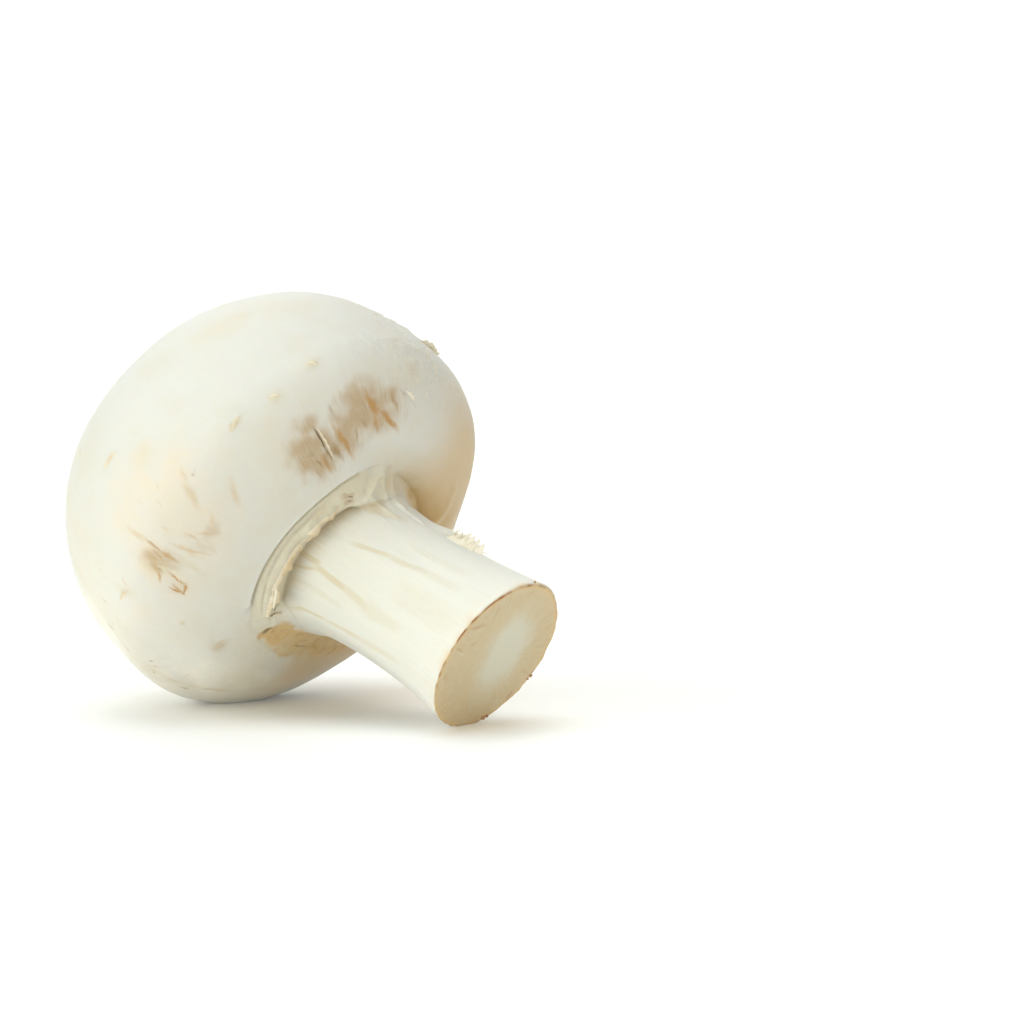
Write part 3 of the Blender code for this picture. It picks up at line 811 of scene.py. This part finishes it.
class Nodes:
    """Short names for the nodes of one material."""

    def __init__(self, name):
        self.material = bpy.data.materials.new(name)
        self.material.use_nodes = True
        self.tree = self.material.node_tree
        self.shader = self.tree.nodes["Principled BSDF"]
        self.last_marks = None

    def add(self, kind, **settings):
        node = self.tree.nodes.new("ShaderNode" + kind)
        for key, value in settings.items():
            setattr(node, key, value)
        return node

    def put(self, node, values):
        """Sets or links inputs of a node, each given by its name or number."""
        for name, value in values.items():
            if isinstance(value, bpy.types.NodeSocket):
                self.tree.links.new(value, node.inputs[name])
            else:
                node.inputs[name].default_value = value

    def attribute(self, name, output="Fac"):
        return self.add("Attribute", attribute_name=name).outputs[output]

    def place(self):
        return self.add("TexCoord").outputs["Object"]

    def math(self, operation, a, b=0.0, clamp=False):
        node = self.add("Math", operation=operation, use_clamp=clamp)
        self.put(node, {0: a, 1: b})
        return node.outputs[0]

    def plus(self, a, b, clamp=False):
        return self.math("ADD", a, b, clamp)

    def times(self, a, b):
        return self.math("MULTIPLY", a, b, True)

    def frayed(self, mask, fibre, amount, low, high):
        """A soft mask broken up along fibres, a noise of 0 to 1."""
        shift = self.math("MULTIPLY", self.math("SUBTRACT", fibre, 0.5), amount)
        present = self.ramp(mask, 0.0, 0.25)
        return self.times(self.ramp(self.plus(mask, shift), low, high), present)

    def ramp(self, value, low, high, most=1.0):
        node = self.add("MapRange", interpolation_type="SMOOTHSTEP")
        self.put(node, {"Value": value, "To Max": most, "From Min": low, "From Max": high})
        return node.outputs["Result"]

    def mix(self, share, a, b):
        """Two colours, each a socket or three numbers."""
        node = self.add("Mix", data_type="RGBA")
        a, b = ((*c, 1.0) if isinstance(c, tuple) else c for c in (a, b))
        self.put(node, {"Factor": share, "A": a, "B": b})
        return node.outputs["Result"]

    def vector(self, operation, a, b=(0.0, 0.0, 0.0)):
        node = self.add("VectorMath", operation=operation)
        self.put(node, {0: a, 1: b})
        return node.outputs["Value" if operation == "LENGTH" else "Vector"]

    def noise(self, vector, scale, detail=3.0, rough=0.5, output="Fac"):
        node = self.add("TexNoise")
        self.put(node, {"Vector": vector, "Scale": scale, "Detail": detail, "Roughness": rough})
        return node.outputs[output]

    def drawn_out(self, grain, stretch_by, detail, rough):
        """Noise stretched along the path."""
        return self.noise(self.vector("MULTIPLY", grain, stretch_by), 1.0, detail, rough)

    def bump(self, height, distance, normal=None):
        node = self.add("Bump")
        self.put(node, {"Strength": 1.0, "Distance": distance, "Height": height})
        if normal is not None:
            self.put(node, {"Normal": normal})
        return node.outputs["Normal"]

    def warped(self, place, size, amount):
        """The place, shaken by noise of a size, by up to an amount, both in mm."""
        shake = self.noise(place, 1000.0 / size, 1.0, 0.5, "Color")
        shake = self.vector("SUBTRACT", shake, (0.5, 0.5, 0.5))
        shake = self.vector("MULTIPLY", shake, (2 * amount * MM,) * 3)
        return self.vector("ADD", place, shake)

    def after(self, place, value):
        """The same place, but worked out after a value, so that few marks are held at once."""
        nothing = self.math("MULTIPLY", value, NEXT_TO_NOTHING)
        return self.vector("ADD", place, nothing)

    def mark(self, place, skin, angle_a, path_a, angle_b, path_b, half, strength, tapered):
        """One long soft mark, from one place on the skin to another."""
        start, end = skin.at(angle_a, path_a), skin.at(angle_b, path_b)
        middle = (angle_a + angle_b) / 2, (path_a + path_b) / 2
        along = (end - start).normalized()
        across = along.cross(skin.out(*middle)).normalized()
        turn = Matrix((across, along, across.cross(along))).transposed().to_euler()
        length = (end - start).length
        if tapered:
            reach = (half * 2.3, 0.75 * length + half, MARK_DEPTH)
        else:
            reach = (half * 1.6, length / 2 + half, MARK_DEPTH)
        node = self.add("Mapping", vector_type="TEXTURE")
        scale = Vector(reach) * MM
        self.put(node, {"Vector": place, "Location": skin.at(*middle) * MM, "Rotation": turn, "Scale": scale})
        away = node.outputs[0]
        if not tapered:
            away = self.vector("MULTIPLY", away, away)
        return self.ramp(self.vector("LENGTH", away), 1.0, 0.0, strength)

    def strokes(self, place, skin, strokes, tapered=False):
        """A mask of long soft marks."""
        total = 0.0
        if self.last_marks is not None:
            place = self.after(place, self.last_marks)
        for count, stroke in enumerate(strokes):
            if count % MARKS_AT_ONCE == MARKS_AT_ONCE - 1:
                place = self.after(place, total)
            total = self.math("MAXIMUM", total, self.mark(place, skin, *stroke, tapered))
        self.last_marks = total
        return total


# ---- Colours --------------------------------------------

CAP_WHITE = (0.685, 0.685, 0.65)
# Painted light on the underside.
CAP_PAINTED_LIGHT = (0.90, 0.885, 0.82)
CAP_CREAM = (0.67, 0.625, 0.51)
CAP_PEACH = (0.745, 0.665, 0.545)
TAN_LIGHT = (0.52, 0.41, 0.28)
TAN_DEEP = (0.46, 0.34, 0.195)
# Painted reflected light and shade, tan.
REFLECTION_AND_SHADE_TAN = (0.64, 0.50, 0.315)
ORANGE = (0.49, 0.285, 0.105)
PALE_ORANGE = (0.62, 0.47, 0.27)
BROWN = (0.34, 0.22, 0.10)
DARK = (0.14, 0.10, 0.05)
SCAB = (0.64, 0.585, 0.44)
VEIL_PALE = (0.645, 0.61, 0.50)
VEIL_CREAM = (0.61, 0.53, 0.38)
# Painted shade in the crevice and the seam.
CREASE_SHADE_GREY = (0.42, 0.39, 0.32)
TORN_TAN = (0.64, 0.455, 0.215)
TORN_BROWN = (0.47, 0.285, 0.105)
# Painted shade in the hollow.
POCKET_SHADE_BROWN = (0.56, 0.39, 0.18)
STEM_WHITE = (0.745, 0.74, 0.69)
STEM_STREAK = (0.63, 0.55, 0.37)
# Painted shade under the veil's edge.
COLLAR_SHADE_TAN = (0.50, 0.38, 0.19)
CUT_TAN = (0.63, 0.525, 0.34)
CUT_WARM = (0.58, 0.455, 0.27)
CUT_GREY = (0.67, 0.65, 0.54)
CUT_STREAK = (0.50, 0.32, 0.17)
RIM_BROWN = (0.30, 0.125, 0.03)
RIM_ORANGE = (0.70, 0.47, 0.20)


class FleshNoise:
    """The noises that the flesh's colours and bumps share."""

    def __init__(self, n):
        self.grain = n.attribute("grain", "Vector")
        self.place = n.place()
        self.mottle = n.noise(self.place, 260.0, 4.0, 0.55)
        self.broad = n.noise(self.place, 70.0, 2.0)
        self.speck = n.noise(self.place, 900.0, 2.0)
        self.streak = n.drawn_out(self.grain, (1.1, 1.1, 0.12), 4.0, 0.6)
        self.fibre = n.drawn_out(self.grain, (2.6, 2.6, 0.40), 3.0, 0.6)
        self.hairline = n.drawn_out(self.grain, (6.0, 6.0, 0.6), 2.0, 0.5)
        self.shaken = n.warped(n.warped(self.place, 1.8, 0.40), 0.5, 0.16)


def skin_colour(n, of, skin):
    """The cap's white, made paler by painted light on its underside, with its cream, peach and tan stains,
    strokes and scabs.
    """
    cream = n.plus(n.times(n.ramp(of.broad, 0.45, 0.80), 0.20), n.times(n.ramp(of.mottle, 0.5, 0.75), 0.28))
    cream = n.plus(cream, n.times(n.ramp(of.fibre, 0.52, 0.75), 0.16), True)
    cream = n.plus(cream, n.times(n.attribute("cream"), 0.78), True)
    # The underside is painted paler, standing in for light from below.
    colour = n.mix(cream, n.mix(n.attribute("pale"), CAP_WHITE, CAP_PAINTED_LIGHT), CAP_CREAM)
    colour = n.mix(n.times(n.attribute("peach"), n.ramp(of.mottle, 0.10, 0.72)), colour, CAP_PEACH)
    tan = n.attribute("tan")
    colour = n.mix(n.times(n.frayed(tan, of.fibre, 0.45, 0.0, 0.85), 0.9), colour, TAN_LIGHT)
    colour = n.mix(n.times(n.frayed(tan, of.hairline, 1.1, 0.45, 1.3), 0.6), colour, TAN_DEEP)
    for strokes, fraying, full, tint in (
        (PALE_STROKES, 0.5, 1.3, PALE_ORANGE),
        (ORANGE_STROKES, 0.6, 1.1, ORANGE),
        (BROWN_STROKES, 0.5, 1.15, BROWN),
    ):
        marks = n.strokes(of.shaken, skin, strokes, True)
        colour = n.mix(n.frayed(marks, of.hairline, fraying, 0.0, full), colour, tint)
    return n.mix(n.times(n.attribute("scab"), 0.45), colour, SCAB)


def veil_colour(n, of, skin):
    colour = n.mix(n.times(n.ramp(of.fibre, 0.42, 0.72), 0.5), VEIL_PALE, VEIL_CREAM)
    marks = n.frayed(n.strokes(of.shaken, skin, VEIL_TAN_STROKES), of.hairline, 0.5, 0.0, 1.2)
    return n.mix(n.times(marks, 0.9), colour, TAN_LIGHT)


def stem_colour(n, of, skin):
    colour = n.mix(n.times(n.ramp(of.streak, 0.50, 0.80), 0.16), STEM_WHITE, STEM_STREAK)
    streaks = n.strokes(n.warped(of.place, 3.0, 0.25), skin, STEM_STREAKS)
    colour = n.mix(n.times(n.frayed(streaks, of.hairline, 0.35, 0.0, 0.9), 0.65), colour, STEM_STREAK)
    shade = n.frayed(n.attribute("collar_shade"), of.hairline, 0.5, 0.0, 1.0)
    colour = n.mix(n.times(shade, 0.65), colour, COLLAR_SHADE_TAN)
    return n.mix(n.times(n.attribute("rim_stain"), 0.8), colour, RIM_ORANGE)


def cut_colour(n, of, skin):
    """Tan flesh round a pale heart, with a dried ring at the rim."""
    share = n.attribute("cut_share")
    uneven = n.math("MULTIPLY", n.math("SUBTRACT", of.mottle, 0.5), 0.6)
    colour = n.mix(n.ramp(n.plus(n.attribute("cut_heart"), uneven), 0.05, 0.75), CUT_TAN, CUT_GREY)
    colour = n.mix(n.times(n.ramp(of.fibre, 0.45, 0.75), n.ramp(share, 0.3, 0.8, 0.7)), colour, CUT_WARM)
    colour = n.mix(n.times(n.ramp(of.speck, 0.5, 0.8), 0.3), colour, CUT_GREY)
    marks = n.frayed(n.strokes(of.shaken, skin, CUT_STROKES, True), of.mottle, 0.5, 0.0, 1.4)
    colour = n.mix(marks, colour, CUT_STREAK)
    return n.mix(n.times(n.ramp(share, 0.93, 0.975), 0.4), colour, RIM_ORANGE)


def torn_colour(n, of):
    colour = n.mix(n.times(n.ramp(of.speck, 0.45, 0.75), 0.6), TORN_TAN, TORN_BROWN)
    return n.mix(n.times(n.ramp(of.mottle, 0.5, 0.75), 0.6), colour, SCAB)


def flesh_colour(n, of, skin):
    """All the parts' colours, each over the last, then painted reflection and shade, and the marks that lie
    across them.
    """
    colour, veil = skin_colour(n, of, skin), veil_colour(n, of, skin)
    stem, cut = stem_colour(n, of, skin), cut_colour(n, of, skin)
    for name, part in (("veil", veil), ("stem", stem), ("cut", cut)):
        colour = n.mix(n.attribute(name), colour, part)
    # Painted reflection and shade on the right edge and lower right.
    colour = n.mix(n.times(n.attribute("reflection_and_shade_tan"), 0.95), colour, REFLECTION_AND_SHADE_TAN)
    # Painted shade in the hollow under the margin.
    colour = n.mix(n.times(n.attribute("pocket"), 0.9), colour, POCKET_SHADE_BROWN)
    torn = n.frayed(n.attribute("torn"), of.mottle, 0.30, 0.28, 0.60)
    colour = n.mix(n.times(torn, 0.9), colour, torn_colour(n, of))
    # Painted shade along the crevice and the seam.
    colour = n.mix(n.times(n.attribute("crease"), 0.8), colour, CREASE_SHADE_GREY)
    at_rim = n.ramp(n.math("ABSOLUTE", n.attribute("from_rim")), 0.26, 0.04)
    colour = n.mix(n.times(at_rim, n.times(n.attribute("rim"), 0.95)), colour, RIM_BROWN)
    # Dark lines: painted shade in the slit, and dark dashes and torn edges.
    dark = n.strokes(n.warped(of.place, 1.2, 0.10), skin, DARK_STROKES)
    return n.mix(n.times(dark, 0.95), colour, DARK)


def flesh_normal(n, of):
    """Relief too fine for the mesh, layer over layer; its heights are in metres."""
    on_stem, on_cut = n.attribute("stem"), n.attribute("cut")
    not_cut = n.math("SUBTRACT", 1.0, on_cut)
    normal = n.bump(n.times(n.times(of.streak, not_cut), n.plus(on_stem, 0.35, True)), 0.00010)
    normal = n.bump(n.times(of.fibre, n.math("SUBTRACT", on_stem, on_cut, True)), 0.00005, normal)
    normal = n.bump(n.times(n.attribute("tan"), of.hairline), 0.00010, normal)
    normal = n.bump(n.times(n.attribute("torn"), of.mottle), 0.0003, normal)
    away_from_heart = n.ramp(n.attribute("cut_share"), 0.35, 0.9)
    grooves = n.plus(n.times(away_from_heart, n.times(of.fibre, 0.6)), n.times(of.speck, 0.6))
    normal = n.bump(n.times(grooves, on_cut), 0.00020, normal)
    normal = n.bump(n.plus(n.times(of.mottle, 0.8), n.times(of.speck, 0.2)), 0.00014, normal)
    scaly = n.ramp(n.drawn_out(of.grain, (1.6, 1.6, 0.9), 4.0, 0.65), 0.35, 0.70)
    return n.bump(n.times(scaly, n.attribute("rough")), 0.00010, normal)


def flesh_material(skin):
    n = Nodes("mushroom_flesh")
    of = FleshNoise(n)
    n.put(n.shader, {"Base Color": flesh_colour(n, of, skin)})
    rough = n.add("MapRange")
    n.put(rough, {"Value": of.mottle, "To Min": 0.48, "To Max": 0.68})
    n.put(n.shader, {"Roughness": rough.outputs["Result"], "Normal": flesh_normal(n, of)})
    soften(n)
    return n.material


def soften(n):
    """Light enters flesh and comes out a little way off."""
    n.put(n.shader, {
        "Subsurface Weight": 0.35,
        "Subsurface Radius": (1.0, 0.62, 0.36),
        "Subsurface Scale": 0.0022,
        "Specular IOR Level": 0.35,
    })


SHRED_PALE = (0.95, 0.90, 0.76)
SHRED_TAN = (0.70, 0.56, 0.34)
CRUMB_BROWN = (0.34, 0.17, 0.08)
CRUMB_TAN = (0.55, 0.33, 0.17)


def shred_material():
    """Thin torn skin: pale at its root, tan where it has dried."""
    n = Nodes("torn_skin")
    blotch = n.noise(n.place(), 700.0, 3.0)
    dry = n.plus(n.attribute("dry"), n.times(n.ramp(blotch, 0.45, 0.75), 0.35), True)
    colour = n.mix(dry, SHRED_PALE, SHRED_TAN)
    n.put(n.shader, {"Base Color": colour, "Roughness": 0.6, "Normal": n.bump(blotch, 0.00005)})
    shines_through = n.add("BsdfTranslucent")
    n.put(shines_through, {"Color": colour})
    both = n.add("MixShader")
    n.put(both, {"Fac": 0.12, 1: n.shader.outputs[0], 2: shines_through.outputs[0]})
    n.put(n.tree.nodes["Material Output"], {"Surface": both.outputs[0]})
    return n.material


def crumb_material():
    n = Nodes("soil_crumb")
    blotch = n.noise(n.place(), 900.0, 3.0)
    colour = n.mix(n.ramp(blotch, 0.3, 0.7), CRUMB_BROWN, CRUMB_TAN)
    n.put(n.shader, {"Base Color": colour, "Roughness": 0.85, "Normal": n.bump(blotch, 0.0001)})
    return n.material


def add_object(name, data):
    thing = bpy.data.objects.new(name, data)
    bpy.context.collection.objects.link(thing)
    return thing


def add_piece(name, mesh, material):
    """A piece of the mushroom, which rides on its one body."""
    mesh.materials.append(material)
    mesh.shade_smooth()
    piece = add_object(name, mesh)
    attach(piece, "root")
    return piece


# ---- Torn bits ------------------------------------------

class Shreds:
    """Collects thin flaps and threads into one mesh."""

    def __init__(self, skin, seed):
        self.skin = skin
        self.random = random.Random(seed)
        self.points, self.faces, self.dry = [], [], []

    def flap(self, angle_a, path_a, angle_b, path_b, width, lift, curl=0.0, dry=0.3,
             thick=0.07, rag=0.25, corner=0.55, lump=0.45):
        """A thin flap hinged on the skin from one place to another.

        It reaches width mm to the left of the hinge as seen walking it on the skin (to the
        right, for a width below zero), raised by lift degrees and by curl more at its edge.
        """
        start, end = self.skin.at(angle_a, path_a), self.skin.at(angle_b, path_b)
        length = (end - start).length
        steps = max(6, int(length / 0.10))
        deep = max(3, int(abs(width) / 0.14))
        first = len(self.points)
        phase = self.random.random() * 50.0
        for i in range(steps + 1):
            t = i / steps
            angle, path = angle_a + t * (angle_b - angle_a), path_a + t * (path_b - path_a)
            hinge = self.skin.at(angle, path, -0.04)
            out = self.skin.out(angle, path)
            along = (end - start).normalized()
            side = out.cross(along).normalized()
            taper = math.sin(math.pi * min(max(t, 0.02), 0.98)) ** corner
            ragged = 1.0 + rag * 2.0 * noise.noise(Vector((phase, t * length / lump, 0.0)))
            reach = width * taper * ragged
            place, step = hinge.copy(), reach / deep
            for j in range(deep + 1):
                share = j / deep
                wave_up = 0.08 * noise.noise(Vector((phase, t * length / 0.6, share * 2.0)))
                thin = thick * (1.0 - 0.75 * share)
                self.points.append(place + out * (wave_up * share + thin / 2))
                self.points.append(place + out * (wave_up * share - thin / 2))
                self.dry += [dry * (0.4 + 0.9 * share)] * 2
                rise = math.radians(lift + curl * share)
                place = place + side * (step * math.cos(rise)) + out * (abs(step) * math.sin(rise))
        row = 2 * (deep + 1)
        for i in range(steps):
            for j in range(deep):
                a = first + i * row + 2 * j
                b = a + row
                self.faces.append((a, a + 2, b + 2, b))
                self.faces.append((a + 1, b + 1, b + 3, a + 3))
            a, b = first + i * row, first + (i + 1) * row
            self.faces.append((a, b, b + 1, a + 1))
            a, b = a + 2 * deep, b + 2 * deep
            self.faces.append((a, a + 1, b + 1, b))
        for base in (first, first + steps * row):
            for j in range(deep):
                a = base + 2 * j
                self.faces.append((a, a + 1, a + 3, a + 2))

    def thread(self, places, thickness, dry=0.2, sides=6):
        """A round thread through places, tapered to its far end."""
        first = len(self.points)
        count = len(places)
        for i, place in enumerate(places):
            along = (places[min(i + 1, count - 1)] - places[max(i - 1, 0)]).normalized()
            side = along.orthogonal().normalized()
            other = along.cross(side)
            radius = thickness / 2 * (1.0 - 0.8 * (i / (count - 1)) ** 1.5)
            for k in range(sides):
                turn = 2 * math.pi * k / sides
                self.points.append(place + radius * (math.cos(turn) * side + math.sin(turn) * other))
                self.dry.append(dry * (0.3 + i / count))
        for i in range(count - 1):
            for k in range(sides):
                a, b = first + i * sides + k, first + i * sides + (k + 1) % sides
                self.faces.append((a, b, b + sides, a + sides))
        self.faces.append(tuple(range(first, first + sides))[::-1])
        last = first + (count - 1) * sides
        self.faces.append(tuple(range(last, last + sides)))

    def hair(self, angle, path, length, toward, lean, thickness, dry=0.2):
        """A stray fibre: rooted on the skin, it leans along the path and bends back."""
        out = self.skin.out(angle, path)
        along = (self.skin.at(angle, path + 0.4) - self.skin.at(angle, path - 0.4)).normalized()
        across = out.cross(along)
        place = self.skin.at(angle, path, -0.08)
        heading = (out * math.cos(math.radians(lean)) + along * math.sin(math.radians(lean)) * toward)
        heading += across * self.random.uniform(-0.35, 0.35)
        bend = Vector([self.random.uniform(-0.5, 0.5) for _ in range(3)]) + 0.5 * along * toward
        places = [place.copy()]
        steps = 6
        for i in range(steps):
            heading = (heading + bend * 0.22).normalized()
            place = place + heading * (length / steps)
            places.append(place.copy())
        self.thread(places, thickness, dry)

    def piece(self, name, material):
        mesh = bpy.data.meshes.new(name)
        mesh.from_pydata([tuple(p * MM) for p in self.points], [], self.faces)
        turned = bmesh.new()
        turned.from_mesh(mesh)
        bmesh.ops.recalc_face_normals(turned, faces=turned.faces)
        turned.to_mesh(mesh)
        turned.free()
        layer = mesh.attributes.new("dry", "FLOAT", "POINT")
        layer.data.foreach_set("value", np.clip(self.dry, 0.0, 1.0))
        add_piece(name, mesh, material)


# Flaps of skin: the hinge's two ends, width, lift and curl in degrees, dryness.
SKIN_FLAPS = (
    (31.4, 47, 29, 52.3, 0.24, 26, 14, 0.35), (-28.6, 36.6, -34, 38, -0.8, 40, 50, 0),
    (-31, 38.6, -35.5, 37.8, -0.5, 55, 30, 0.1), (24.4, 40.6, 21.4, 41.4, 0.36, 20, 20, 0.15),
    (37.8, 41.8, 36, 42.4, 0.3, 22, 20, 0.15), (51.8, 42.2, 47, 41.3, 0.34, 18, 20, 0.3),
    (82.8, 31.4, 77, 31.7, 0.34, 18, 15, 0.5), (-5.6, 46.8, -9.6, 48, 0.42, 16, 12, 0.1),
    (104.6, 41.6, 111, 40.6, -0.3, 10, 10, 0.4), (125, 37.3, 125.4, 39.4, 0.3, 10, 10, 0.4),
    (134.4, 42.6, 135.4, 44.6, 0.3, 10, 10, 0.4), (142, 43.6, 144.8, 45.3, 0.3, 10, 10, 0.5),
    (148, 44.4, 151.4, 45.4, 0.3, 10, 10, 0.5), (92.4, 45.2, 98.4, 47, 0.2, 8, 8, 0.3),
)
VEIL_CURL = (
    (95, 59.9, 0), (99, 60.2, 0.2), (103, 60.3, 0.3), (107, 60.2, 0.32), (111, 60.4, 0.28),
    (115, 60.9, 0.05),
)
CRUMBS = (
    (-160, 83.9, 0.42, 0.1), (-156, 83.8, 0.32, 0.1), (-112, 83.7, 0.34, 0.1), (-115, 83.8, 0.24, 0.1),
    (-6.4, 83.3, 0.24, 0.1),
)


def make_flakes(skin, material):
    shreds = Shreds(skin, 3)
    for flap in SKIN_FLAPS:
        shreds.flap(*flap)
    pick = shreds.random
    for _ in range(110):
        angle, path = pick.uniform(-38.0, -14.0), pick.uniform(26.0, 44.0)
        shreds.hair(angle, path, pick.uniform(0.4, 1.1), 1, pick.uniform(60, 84), 0.09, 0.1)
    for _ in range(26):
        angle, path = pick.uniform(-26.0, -8.0), pick.uniform(37.5, 47.0)
        end_angle, end_path = angle + pick.uniform(-2.6, 0.4), path + pick.uniform(0.5, 1.5)
        width, lift = pick.uniform(0.10, 0.24), pick.uniform(4.0, 14.0)
        shreds.flap(angle, path, end_angle, end_path, width, lift, 10.0, 0.3, 0.05, 0.6)
    for _ in range(14):
        angle, path = pick.uniform(-34.5, -29.0), pick.uniform(36.4, 38.4)
        shreds.hair(angle, path, pick.uniform(0.7, 1.3), 1, pick.uniform(20, 70), 0.12, 0.0)
    shreds.piece("skin_flakes", material)


def make_veil_shreds(skin, material):
    """Rags along the veil's free edge, and one pale curl."""
    shreds = Shreds(skin, 11)
    pick = shreds.random
    angle = FREE_FROM + 1.0
    while angle < EDGE_RETREAT_AT:
        wide = pick.uniform(9.0, 20.0)
        reach = pick.uniform(0.75, 1.05)
        start = 59.4 + pick.uniform(-0.2, 0.2)
        end = start + pick.uniform(-0.25, 0.25)
        dry = pick.uniform(0.6, 1.0) if angle < 85.0 else 0.5
        lift = pick.uniform(0.0, 8.0)
        shreds.flap(angle, start, angle + wide, end, reach, lift, -20.0, dry, 0.09, 0.4, 0.3, 0.9)
        angle += wide * pick.uniform(0.6, 0.9)
    places = [skin.at(angle, path, height) for angle, path, height in VEIL_CURL]
    shreds.thread(places, 0.34, 0.0, 8)
    shreds.piece("veil_shreds", material)


TUFT_FLAPS = (
    (-9, 70.4, 1.5, 22), (-11, 71.6, 1.8, 26), (-13, 72.6, 1.6, 24), (-15, 71, 1.3, 40),
)


def make_tuft(skin, material):
    """The small tuft torn up on the far side of the stem."""
    shreds = Shreds(skin, 5)
    pick = shreds.random
    for angle, path, width, lift in TUFT_FLAPS:
        shreds.flap(angle, path, angle - 3.0, path + 2.4, width, lift, 12.0, 0.0, 0.12, 0.5, 0.5, 0.4)
    for _ in range(70):
        path = 70.6 + 3.6 * pick.random()
        angle = -17.0 - 2.0 * (path - 70.6) + pick.uniform(-5.0, 3.0)
        toward = pick.choice((-1, 1, 1))
        length, lean, thickness = pick.uniform(0.5, 1.5), pick.uniform(5, 40), pick.uniform(0.12, 0.22)
        shreds.hair(angle, path, length, toward, lean, thickness, 0.0)
    shreds.piece("stem_tuft", material)


def make_crumbs(skin, material):
    """Specks of soil on the cut's rim."""
    points, faces = [], []
    pick = random.Random(9)
    for angle, path, size, height in CRUMBS:
        centre = skin.at(angle, path, height * size)
        first = len(points)
        rows, columns = 7, 12
        for i in range(1, rows):
            for k in range(columns):
                a, b = math.pi * i / rows, 2 * math.pi * k / columns
                way = Vector((math.sin(a) * math.cos(b), math.sin(a) * math.sin(b), math.cos(a)))
                lump = 1.0 + 0.5 * noise.noise(way * 1.7 + centre)
                points.append(centre + way * size * lump * 0.6)
        for i in range(rows - 2):
            for k in range(columns):
                a, b = first + i * columns + k, first + i * columns + (k + 1) % columns
                faces.append((a, a + columns, b + columns, b))
        faces.append(tuple(range(first, first + columns)))
        last = first + (rows - 2) * columns
        faces.append(tuple(range(last, last + columns))[::-1])
    mesh = bpy.data.meshes.new("rim_crumbs")
    mesh.from_pydata([(p.x * MM, p.y * MM, max(p.z, 0.0) * MM) for p in points], [], faces)
    add_piece("rim_crumbs", mesh, material)


# ---- Stage ----------------------------------------------

def make_floor():
    mesh = bpy.data.meshes.new("studio_floor")
    corners = [(x * FLOOR_HALF, y * FLOOR_HALF, 0.0) for x, y in ((-1, -1), (1, -1), (1, 1), (-1, 1))]
    mesh.from_pydata(corners, [], [(0, 1, 2, 3)])
    n = Nodes("floor_white")
    n.put(n.shader, {
        "Base Color": (*FLOOR_COLOUR, 1.0),
        "Roughness": 0.7,
        "Emission Color": (*FLOOR_GLOW_COLOUR, 1.0),
        "Emission Strength": FLOOR_GLOW,
    })
    mesh.materials.append(n.material)
    add_object("studio_floor", mesh)


def make_world():
    world = bpy.data.worlds.new("studio")
    world.use_nodes = True
    tree = world.node_tree
    back = tree.nodes["Background"]
    back.inputs["Color"].default_value = (*WORLD_COLOUR, 1.0)
    back.inputs["Strength"].default_value = WORLD_STRENGTH
    seen = tree.nodes.new("ShaderNodeBackground")
    seen.inputs["Color"].default_value = (1.0, 1.0, 1.0, 1.0)
    mix = tree.nodes.new("ShaderNodeMixShader")
    path = tree.nodes.new("ShaderNodeLightPath")
    tree.links.new(path.outputs["Is Camera Ray"], mix.inputs["Fac"])
    tree.links.new(back.outputs[0], mix.inputs[1])
    tree.links.new(seen.outputs[0], mix.inputs[2])
    tree.links.new(mix.outputs[0], tree.nodes["World Output"].inputs["Surface"])
    bpy.context.scene.world = world


def direction(azimuth, elevation):
    a, e = math.radians(azimuth), math.radians(elevation)
    return Vector((math.sin(a) * math.cos(e), -math.cos(a) * math.cos(e), math.sin(e)))


def soft_sun(name, azimuth, elevation, strength, colour):
    """A large soft light, far off; azimuth is counted from the camera's, to its right."""
    data = bpy.data.lights.new(name, "SUN")
    data.angle = math.radians(SUN_SPREAD)
    data.energy = strength
    data.color = colour
    back = direction(VIEW_AZIMUTH + azimuth, elevation)
    add_object(name, data).rotation_euler = back.to_track_quat("Z", "Y").to_euler()


def make_camera():
    data = bpy.data.cameras.new("camera")
    data.lens = VIEW_LENS
    data.sensor_width = 36.0
    data.clip_start, data.clip_end = 0.01, 200.0
    camera = add_object("camera", data)
    back = direction(VIEW_AZIMUTH, VIEW_ELEVATION)
    right = direction(VIEW_AZIMUTH + 90.0, 0.0)
    target = Vector((0.0, 0.0, VIEW_CENTRE_HEIGHT))
    camera.location = target + back * VIEW_DISTANCE
    aim = target + right * VIEW_ASIDE - Vector((0.0, 0.0, VIEW_DROP))
    camera.rotation_euler = (camera.location - aim).to_track_quat("Z", "Y").to_euler()
    bpy.context.scene.camera = camera


def make_body():
    surface = Surface()
    placing = Placing(surface)
    lifted = surface.grid + relief(surface)[..., None] * surface.normals()
    points = placing(lifted)
    skin = Skin(surface, points)
    mesh = body_mesh(surface, points, placing(surface.pole), placing(surface.heart))
    masks = Masks(mesh, surface.shape)
    for store in (skin_masks, veil_masks, stem_masks, cut_masks):
        store(masks, surface)
    masks.keep_grain(surface)
    body = add_piece("mushroom_body", mesh, flesh_material(skin))
    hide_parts("button_mushroom")
    return skin


def main():
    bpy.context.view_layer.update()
    make_camera()
    skin = make_body()
    torn_skin = shred_material()
    make_flakes(skin, torn_skin)
    make_veil_shreds(skin, torn_skin)
    make_tuft(skin, torn_skin)
    make_crumbs(skin, crumb_material())
    make_floor()
    make_world()
    for light in LIGHTS:
        soft_sun(*light)
    bpy.context.scene.view_settings.view_transform = "Standard"


main()
